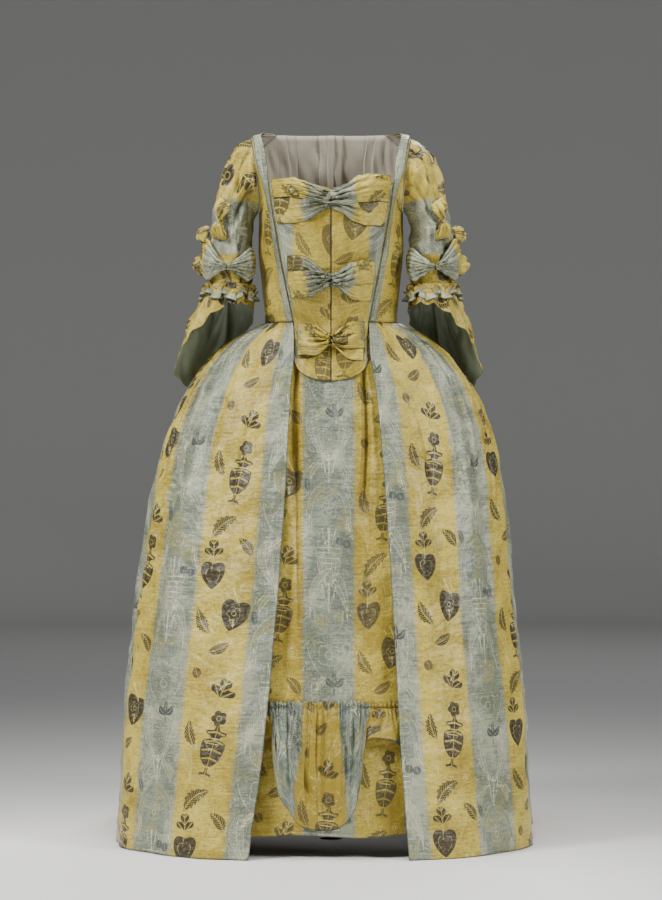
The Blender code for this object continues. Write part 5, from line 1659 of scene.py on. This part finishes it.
def sleeve(u, v):
    """Round the arm and down it: u is 0 at the outer line and goes round by the front."""
    u, v = as_arrays(u, v)
    along, angle = 1 - v, TURN * u
    outer_x, outer_height, inner_x, inner_height, depth, y = (read(along) for read in sleeve_curves)
    outer, inner = at(outer_x, y, outer_height), at(inner_x, y, inner_height)
    centre, reach = (outer + inner) / 2, (outer - inner) / 2
    low = eased((along - PUCKERS_FROM) / PUCKERS_OVER)
    pucker = SLEEVE_PUCKER_DEPTH * pleat_wave(u, SLEEVE_PUCKERS) * low
    swell = 1 + pucker / np.linalg.norm(reach, axis=-1)
    points = centre + reach * (np.cos(angle) * swell)[..., None]
    points[..., 1] -= (depth + pucker) * np.sin(angle)
    return blended(points, armhole(angle, SLEEVE_GAP), eased(1 - along / SET_IN))


SLEEVE_CREASES = rows_of(Crease, [
    (0.050, 0.250, 0.105, 0.150, 0.010, 0.0090, 0.0115),
    (0.036, 0.262, 0.088, 0.135, 0.006, 0.0070, -0.0088),
    (0.030, 0.262, 0.040, 0.160, 0.008, 0.0080, 0.0095),
    (0.012, 0.266, 0.022, 0.150, 0.004, 0.0070, -0.0081),
    (0.070, 0.225, 0.118, 0.160, 0.006, 0.0070, 0.0088),
    (0.108, 0.230, 0.075, 0.120, 0.008, 0.0080, 0.0081),
    (0.004, 0.230, 0.050, 0.120, 0.006, 0.0080, 0.0081),
    (0.348, 0.262, 0.340, 0.150, 0.006, 0.0080, -0.0081),
    (0.118, 0.200, 0.085, 0.100, 0.008, 0.0080, -0.0081),
    (0.126, 0.140, 0.080, 0.070, 0.005, 0.0070, 0.0081),
    (0.018, 0.140, 0.060, 0.060, 0.005, 0.0080, -0.0074),
    (0.062, 0.120, 0.028, 0.040, 0.005, 0.0070, 0.0074),
    (0.090, 0.110, 0.110, 0.030, 0.005, 0.0070, 0.0074),
    (0.300, 0.240, 0.280, 0.110, 0.006, 0.0100, 0.0088),
    (0.270, 0.210, 0.240, 0.080, -0.006, 0.0100, -0.0074),
    (0.325, 0.200, 0.320, 0.070, 0.004, 0.0090, 0.0074),
    (0.235, 0.160, 0.260, 0.030, 0.004, 0.0090, 0.0061),
    (0.290, 0.090, 0.335, 0.040, 0.004, 0.0080, -0.0061),
])
for word, side in SIDES.items():
    folds = SLEEVE_CREASES if side == RIGHT else varied(SLEEVE_CREASES, seed=111, shift=0.006)
    cloth(
        f"sleeve_{word}", sleeve, Grid(112, 80), striped_silk, linen, side, ring=True, out=-1.0,
        flip=True, weave=Weave(-0.098, 0.22 if side == LEFT else 0.05, True, eased_in=0.036), creases=folds,
        ripple=Ripple(0.035, 0.0018, 120 + int(side)), sewn={"top": 0.012, "bottom": 0.012},
    )

# %% [markdown]
# ## The elbow flounces
# At the elbow a deep flounce, longer behind than in the bend of the arm, falls to a scalloped edge. Its
# length and its flare come from one table by the angle round the arm. It would cut into the wide hips, so a
# soft limit keeps it beside them, as cloth slides off a hoop.

# %% Elbow flounces
Fall = namedtuple("Fall", "angle length flare")
ELBOW_FLOUNCE = rows_of(Fall, [
    (0.0, 0.130, 0.040),
    (45.0, 0.072, 0.020),
    (95.0, 0.038, 0.010),
    (140.0, 0.036, 0.006),
    (180.0, 0.044, 0.002),
    (225.0, 0.070, 0.012),
    (270.0, 0.118, 0.040),
    (315.0, 0.180, 0.060),
    (360.0, 0.130, 0.040),
])
SCALLOPS, SCALLOP_DEPTH, ELBOW_FLUTES, ELBOW_FLUTE_DEPTH = 12, 0.006, 9, 0.006
SCALLOP_MIDDLE, FLARE_EVENLY, FLARE_BY, FULL_FLARE, FLUTES_LEAST = 0.6, 0.25, 0.9, 0.012, 0.15
WIDER, WIDER_WHERE, FLUTED_BY = 0.013, 0.05, 1.5
HIP_CLEARANCE, HIP_SOFTNESS, HIP_REACH = 0.012, 0.010, 0.04
fall_length, fall_flare = curves(ELBOW_FLOUNCE, "angle", "length", "flare")


def hip_x(y, height):
    """How far out the gown is at that depth and height."""
    side_size, front, back = gown_sizes(np.minimum(height, SKIRT_TOP))
    depth, square = np.where(y < 0, front, back), np.where(y < 0, FRONT_SQUARENESS, BACK_SQUARENESS)
    reach = side_size * (1 - np.clip(np.abs(y) / depth, 0, 1) ** square) ** (1 / square)
    return np.where(height >= SKIRT_TOP, 0.0, reach)


def beside(x, limit):
    """x, kept softly beyond a limit."""
    return np.where(x - limit < HIP_REACH, (x + limit + np.hypot(x - limit, HIP_SOFTNESS)) / 2, x)


def elbow_flounce(u, v, wider=0.0):
    """v is 1 at the sleeve's end and 0 at the scalloped edge; wider is how much further it stands out."""
    u, v = as_arrays(u, v)
    fall, flare = 1 - v, fall_flare(DEGREES * u)
    scallops = np.abs(np.sin(math.pi * SCALLOPS * u)) - SCALLOP_MIDDLE
    length = fall_length(DEGREES * u) + SCALLOP_DEPTH * scallops
    points = sleeve(u, 0.0)
    outward = points - (sleeve(0.0, 0.0) + sleeve(0.5, 0.0)) / 2
    outward[..., 2] = 0.0
    outward /= np.linalg.norm(outward, axis=-1, keepdims=True)
    flutes = ELBOW_FLUTE_DEPTH * pleat_wave(u, ELBOW_FLUTES) * eased(fall * FLUTED_BY)
    flare = flare + wider * eased(flare / WIDER_WHERE)
    out = flare * (FLARE_EVENLY * fall + (1 - FLARE_EVENLY) * eased(fall * FLARE_BY))
    out = out + flutes * np.minimum(1.0, flare / FULL_FLARE + FLUTES_LEAST)
    points = points + outward * out[..., None]
    points[..., 2] -= SEAM_GAP * 1.5 + length * fall
    points[..., 0] = beside(points[..., 0], hip_x(points[..., 1], heights(points)) + HIP_CLEARANCE)
    return points


ELBOW_FLOUNCE_CREASES = rows_of(Crease, [
    (0.020, 0.000, 0.020, 0.120, 0.004, 0.0080, 0.0050),
    (0.048, 0.000, 0.040, 0.110, 0.004, 0.0070, -0.0040),
    (0.080, 0.000, 0.068, 0.090, 0.003, 0.0070, 0.0036),
    (0.300, 0.010, 0.310, 0.120, 0.004, 0.0090, 0.0050),
    (0.345, 0.000, 0.350, 0.160, -0.005, 0.0080, -0.0044),
    (0.385, 0.010, 0.385, 0.170, 0.005, 0.0090, 0.0056),
    (0.420, 0.010, 0.412, 0.150, 0.004, 0.0080, -0.0044),
])


def wider_flounce(u, v):
    return elbow_flounce(u, v, WIDER)


for word, side in SIDES.items():
    cloth(
        f"elbow_flounce_{word}", wider_flounce if side == RIGHT else elbow_flounce, Grid(216, 40),
        striped_silk, green_silk, side, ring=True, out=-1.0, flip=True, wall=FINE_CLOTH,
        weave=Weave(0.052, 0.31 if side == LEFT else 0.12, True),
        creases=varied(ELBOW_FLOUNCE_CREASES, seed=133 + int(side), shift=0.005),
        ripple=Ripple(0.03, 0.0016, 130 + int(side)),
        sewn={"top": 0.02}, hems=["bottom"],
    )

# %% [markdown]
# ## The frills and the sleeve bows
# A narrow frill covers the seam between the sleeve and its flounce. It is gathered along its middle and
# sewn on in a meandering line, so full that its gathers curl into loops. Four bows stand on each sleeve:
# they are draped on the sleeve's own surface, by an angle round the arm and a share of its length, so they
# lie close to it from every side.

# %% Frills
FRILL_GATHERS, FRILL_DEPTH, FRILL_CURL, FRILL_STAND = 23, 0.0105, 1.25, 0.0012
FRILL_STRIP, MEANDERS, MEANDER_DEPTH, STITCHED = 0.019, 9, 0.013, 0.42
LONG_WANDER, SHORT_WANDER, WANDER_START = (1.3, 3), (0.8, 7), 2.0
AT_STITCHES, FREE_BY, MEANDER_WANDER, FULLNESS, FULLEST, FRILL_LEVEL = 0.22, 2.0, 0.01, 5, 0.35, 0.35


def frill(u, v):
    """Each gather swings sideways as it stands out, so it curls into a loop. The two edges take turns."""
    fall = 1 - v
    wander = LONG_WANDER[0] * np.sin(TURN * LONG_WANDER[1] * u)
    wander = wander + SHORT_WANDER[0] * np.sin(TURN * SHORT_WANDER[1] * u + WANDER_START)
    phase = TURN * FRILL_GATHERS * u + wander + math.pi * eased(fall)
    from_stitches = AT_STITCHES + (1 - AT_STITCHES) * eased(np.abs(fall - STITCHED) * FREE_BY)
    swing = FRILL_CURL / (TURN * FRILL_GATHERS) * np.sin(phase) * from_stitches
    round_arm = (u - swing) % 1.0
    meander = MEANDER_DEPTH * pleat_wave(u + MEANDER_WANDER * np.sin(TURN * FULLNESS * u), MEANDERS)
    row = np.clip(1 - (fall * FRILL_STRIP + meander) / fall_length(DEGREES * round_arm), 0.0, 1.0)
    gathers = FRILL_DEPTH * (0.5 - 0.5 * np.cos(phase)) * from_stitches
    gathers = gathers * (1 - FULLEST + FULLEST * pleat_wave(u, FULLNESS))
    outward = -normal_of(elbow_flounce, round_arm, row, ring=True)
    outward[..., 2] *= FRILL_LEVEL
    outward /= np.linalg.norm(outward, axis=-1, keepdims=True)
    return elbow_flounce(round_arm, row) + outward * (LAYER_GAP + FRILL_STAND + gathers)[..., None]


for word, side in SIDES.items():
    cloth(
        f"elbow_frill_{word}", frill, Grid(320, 12), bow_silk, bow_silk, side, ring=True,
        flip=True, wall=FINE_CLOTH, weave=Weave(0.035, 0.0, True), ripple=Ripple(0.012, 0.0005, 137),
        hems=["bottom", "top"],
    )

# %% Sleeve bows
Knot = namedtuple(
    "Knot", "name angle along half_turn half_along puff upright across folds depth pinch rounded rise"
)
SLEEVE_KNOTS = rows_of(Knot, [
    ("elbow_bow", 88.0, 0.870, 70.0, 0.160, 0.0120, False, -0.006, 9.0, 0.0100, 0.14, 0.45, 0.060),
    ("upper_bow", 66.0, 0.520, 17.0, 0.132, 0.0130, True, 0.0985, 3.0, 0.0125, 0.20, 0.10, 0.0),
    ("outer_bow", 14.0, 0.640, 19.0, 0.058, 0.0170, False, 0.0985, 3.0, 0.0080, 0.24, 0.20, 0.010),
    ("outer_elbow_bow", 4.0, 0.860, 22.0, 0.075, 0.0160, False, 0.0985, 4.0, 0.0090, 0.20, 0.20, 0.0),
])
KNOT_STAND, KNOT_PUFF_TO, KNOT_PUFF_POWER, KNOT_ROUND = 0.0024, 0.94, 0.8, 0.6
KNOT_FADES, KNOT_FADED, KNOT_LEAST, ROUNDS_FROM, KNOTS_CUT_APART = 1.05, 0.62, 0.3, 2, 0.11


def sleeve_knot(knot, seed):
    def drape(u, v):
        across, up = 2 * u - 1, 2 * v - 1
        spread = np.abs(across)
        reach = mixed(knot.pinch, 1.0, eased(spread * END_BY))
        reach = reach * (1 - knot.rounded * np.maximum(spread * 3 - ROUNDS_FROM, 0) ** 2)
        turn = knot.angle + knot.half_turn * across
        along = knot.along - knot.rise * eased(spread) - knot.half_along * reach * up
        if knot.upright:
            turn, along = knot.angle + knot.half_turn * reach * up, knot.along + knot.half_along * across
        puff = knot.puff * np.sin(math.pi * np.clip(spread * KNOT_PUFF_TO, 0, 1)) ** KNOT_PUFF_POWER
        puff = puff * (1 - KNOT_ROUND * up**2)
        each_side = np.where(across < 0, uneven(v, knot.folds, seed), uneven(v, knot.folds - 1, seed + 1))
        folds = knot.depth * each_side * (1 - KNOT_FADED * eased(spread * KNOT_FADES))
        folds = folds * (KNOT_LEAST + (1 - KNOT_LEAST) * eased(spread * PINCH_STARTS))
        round_arm, row = (turn / DEGREES) % 1.0, np.clip(1 - along, 0.0, 1.0)
        face = -normal_of(sleeve, round_arm, row, ring=True)
        return sleeve(round_arm, row) + face * (LAYER_GAP + KNOT_STAND + puff + folds)[..., None]

    return drape


for number, knot in enumerate(SLEEVE_KNOTS):
    for word, side in SIDES.items():
        cloth(
            f"{knot.name}_{word}", sleeve_knot(knot, seed=140 + number), Grid(48, 24), bow_silk, bow_silk,
            side, flip=True, wall=FINE_CLOTH,
            weave=Weave(knot.across, KNOTS_CUT_APART * number, anchor=0.5, share=0.82),
            ripple=Ripple(0.018, 0.0010, 150 + number), hems=EVERY_EDGE,
        )
print(f"{len(MADE)} sheets, {sum(MADE.values())} triangles without their edges")

# %% [markdown]
# ## The studio
# The gown stands on a floor that curves up into a grey wall, so there is no corner behind it. A bent sheet
# behind the gown would hide it from a viewer on the other side. So the floor is round, and its wall runs all
# the way about, with the lamps inside it and the sky's light over it. The light is soft and comes mostly from
# the front left, and a pool of it is painted on the floor: pale in front of the gown and to its left, fading
# to grey further out.

# %% Floor and backdrop
FLOOR_Z, FLAT_RADIUS, SWEEP_RADIUS, WALL_HEIGHT = -1.2507, 6.4, 1.6, 3.4
SWEEP_STEPS, ROUND_STEPS, FLOOR_RINGS = 16, 96, (0.02, 1.0, 3.0)
turns = [math.pi / 2 * n / SWEEP_STEPS for n in range(SWEEP_STEPS + 1)]
profile = [(radius, FLOOR_Z) for radius in FLOOR_RINGS]
for a in turns:
    profile.append((FLAT_RADIUS + SWEEP_RADIUS * math.sin(a), FLOOR_Z + SWEEP_RADIUS * (1 - math.cos(a))))
profile.append((FLAT_RADIUS + SWEEP_RADIUS, FLOOR_Z + WALL_HEIGHT))
spokes = [TURN * n / ROUND_STEPS for n in range(ROUND_STEPS)]
corners = [(r * math.cos(a), r * math.sin(a), z) for r, z in profile for a in spokes]
panels = []
for ring in range(len(profile) - 1):
    inner, outer = ring * ROUND_STEPS, (ring + 1) * ROUND_STEPS
    for n in range(ROUND_STEPS):
        following = (n + 1) % ROUND_STEPS
        panels.append((inner + n, inner + following, outer + following, outer + n))
panels.append(tuple(range(ROUND_STEPS)))
backdrop_mesh = bpy.data.meshes.new("backdrop")
backdrop_mesh.from_pydata(corners, [], panels)
backdrop_mesh.shade_smooth()
backdrop = add_object("backdrop", backdrop_mesh)
print(f"a floor of {len(panels)} panels")

# %% Studio paper
LIGHT_POOL_PALE, PAPER_GREY, WALL_GREY = (0.93, 0.92, 0.90), (0.150, 0.152, 0.151), (0.400, 0.402, 0.398)
GREY_AT, WALL_AT, PAPER_ROUGHNESS, PAPER_SPECULAR, OBJECT_PLACE = 3.3, 8.0, 0.9, 0.1, 3
# A pool of light painted on the floor: pale round a spot in front of the gown and to its left, fading to grey
# away from it.
LIGHT_POOL_MIDDLE, LIGHT_POOL_RADIUS, LIGHT_POOL_FADE = (-0.35, -0.80), 0.75, 0.85
paper, paper_tree, paper_shader = material_of("studio_paper", 0.0, 0.5, PAPER_SPECULAR)
spot_x, spot_y, _ = split(node_of(paper_tree, "TexCoord", {}, out=OBJECT_PLACE))
aside, ahead = spot_x - LIGHT_POOL_MIDDLE[0], spot_y - LIGHT_POOL_MIDDLE[1]
from_middle = (aside * aside + ahead * ahead).then("SQRT")
# How far outside the painted pool of light each place lies, from 0 inside it to 1 far away.
fading = ((from_middle - LIGHT_POOL_RADIUS).either(0.0) / -LIGHT_POOL_FADE).then("EXPONENT").inverse()
grey = tint(ramp(from_middle, GREY_AT, WALL_AT), PAPER_GREY, WALL_GREY)
join(paper_tree, tint(fading, LIGHT_POOL_PALE, grey), paper_shader.inputs["Base Color"])
paper_shader.inputs["Roughness"].default_value = PAPER_ROUGHNESS
backdrop_mesh.materials.append(paper)

# %% Lights
Lamp = namedtuple("Lamp", "name place aim size watts")
LAMPS = rows_of(Lamp, [
    ("key", (-3.0, -2.3, 2.0), (0.0, 0.0, -0.4), 1.0, 166.0),
    ("fill", (3.1, -2.3, 1.2), (0.0, 0.0, -0.5), 1.3, 106.0),
    ("top", (-0.3, -0.6, 3.2), (-0.2, -0.3, -1.2), 1.8, 120.0),
    ("back", (0.9, 3.2, 2.6), (0.0, 0.3, -0.4), 1.8, 110.0),
])
SKY_COLOUR, SKY_STRENGTH = (1.0, 0.985, 0.95, 1.0), 0.14
for lamp in LAMPS:
    light = bpy.data.lights.new(lamp.name, "AREA")
    light.size, light.energy = lamp.size, lamp.watts
    holder = add_object(lamp.name, light)
    holder.location = lamp.place
    way = Vector(lamp.aim) - Vector(lamp.place)
    holder.rotation_euler = way.to_track_quat("-Z", "Y").to_euler()
world = bpy.data.worlds.new("studio")
world.use_nodes = True
sky = world.node_tree.nodes["Background"]
sky.inputs["Color"].default_value, sky.inputs["Strength"].default_value = SKY_COLOUR, SKY_STRENGTH
bpy.context.scene.world = world
print(f"{len(LAMPS)} lamps, {sum(lamp.watts for lamp in LAMPS):.0f} watts")

# %% [markdown]
# ## The camera
# A long lens from five metres keeps the skirt's hem from spreading, as it would close up. It stands level,
# about as high as the thighs.

# %% Camera
LENS, SENSOR, DISTANCE, EYE_HEIGHT = 115.6, 36.0, 5.14, -0.56
camera = bpy.data.cameras.new("camera")
camera.lens, camera.sensor_width, camera.sensor_height = LENS, SENSOR, SENSOR
camera.sensor_fit = "VERTICAL"
viewer = add_object("camera", camera)
viewer.location, viewer.rotation_euler = (0.0, -DISTANCE, EYE_HEIGHT), (math.pi / 2, 0.0, 0.0)
bpy.context.scene.camera = viewer
print(f"a {LENS:.0f} mm lens, {DISTANCE} m away")
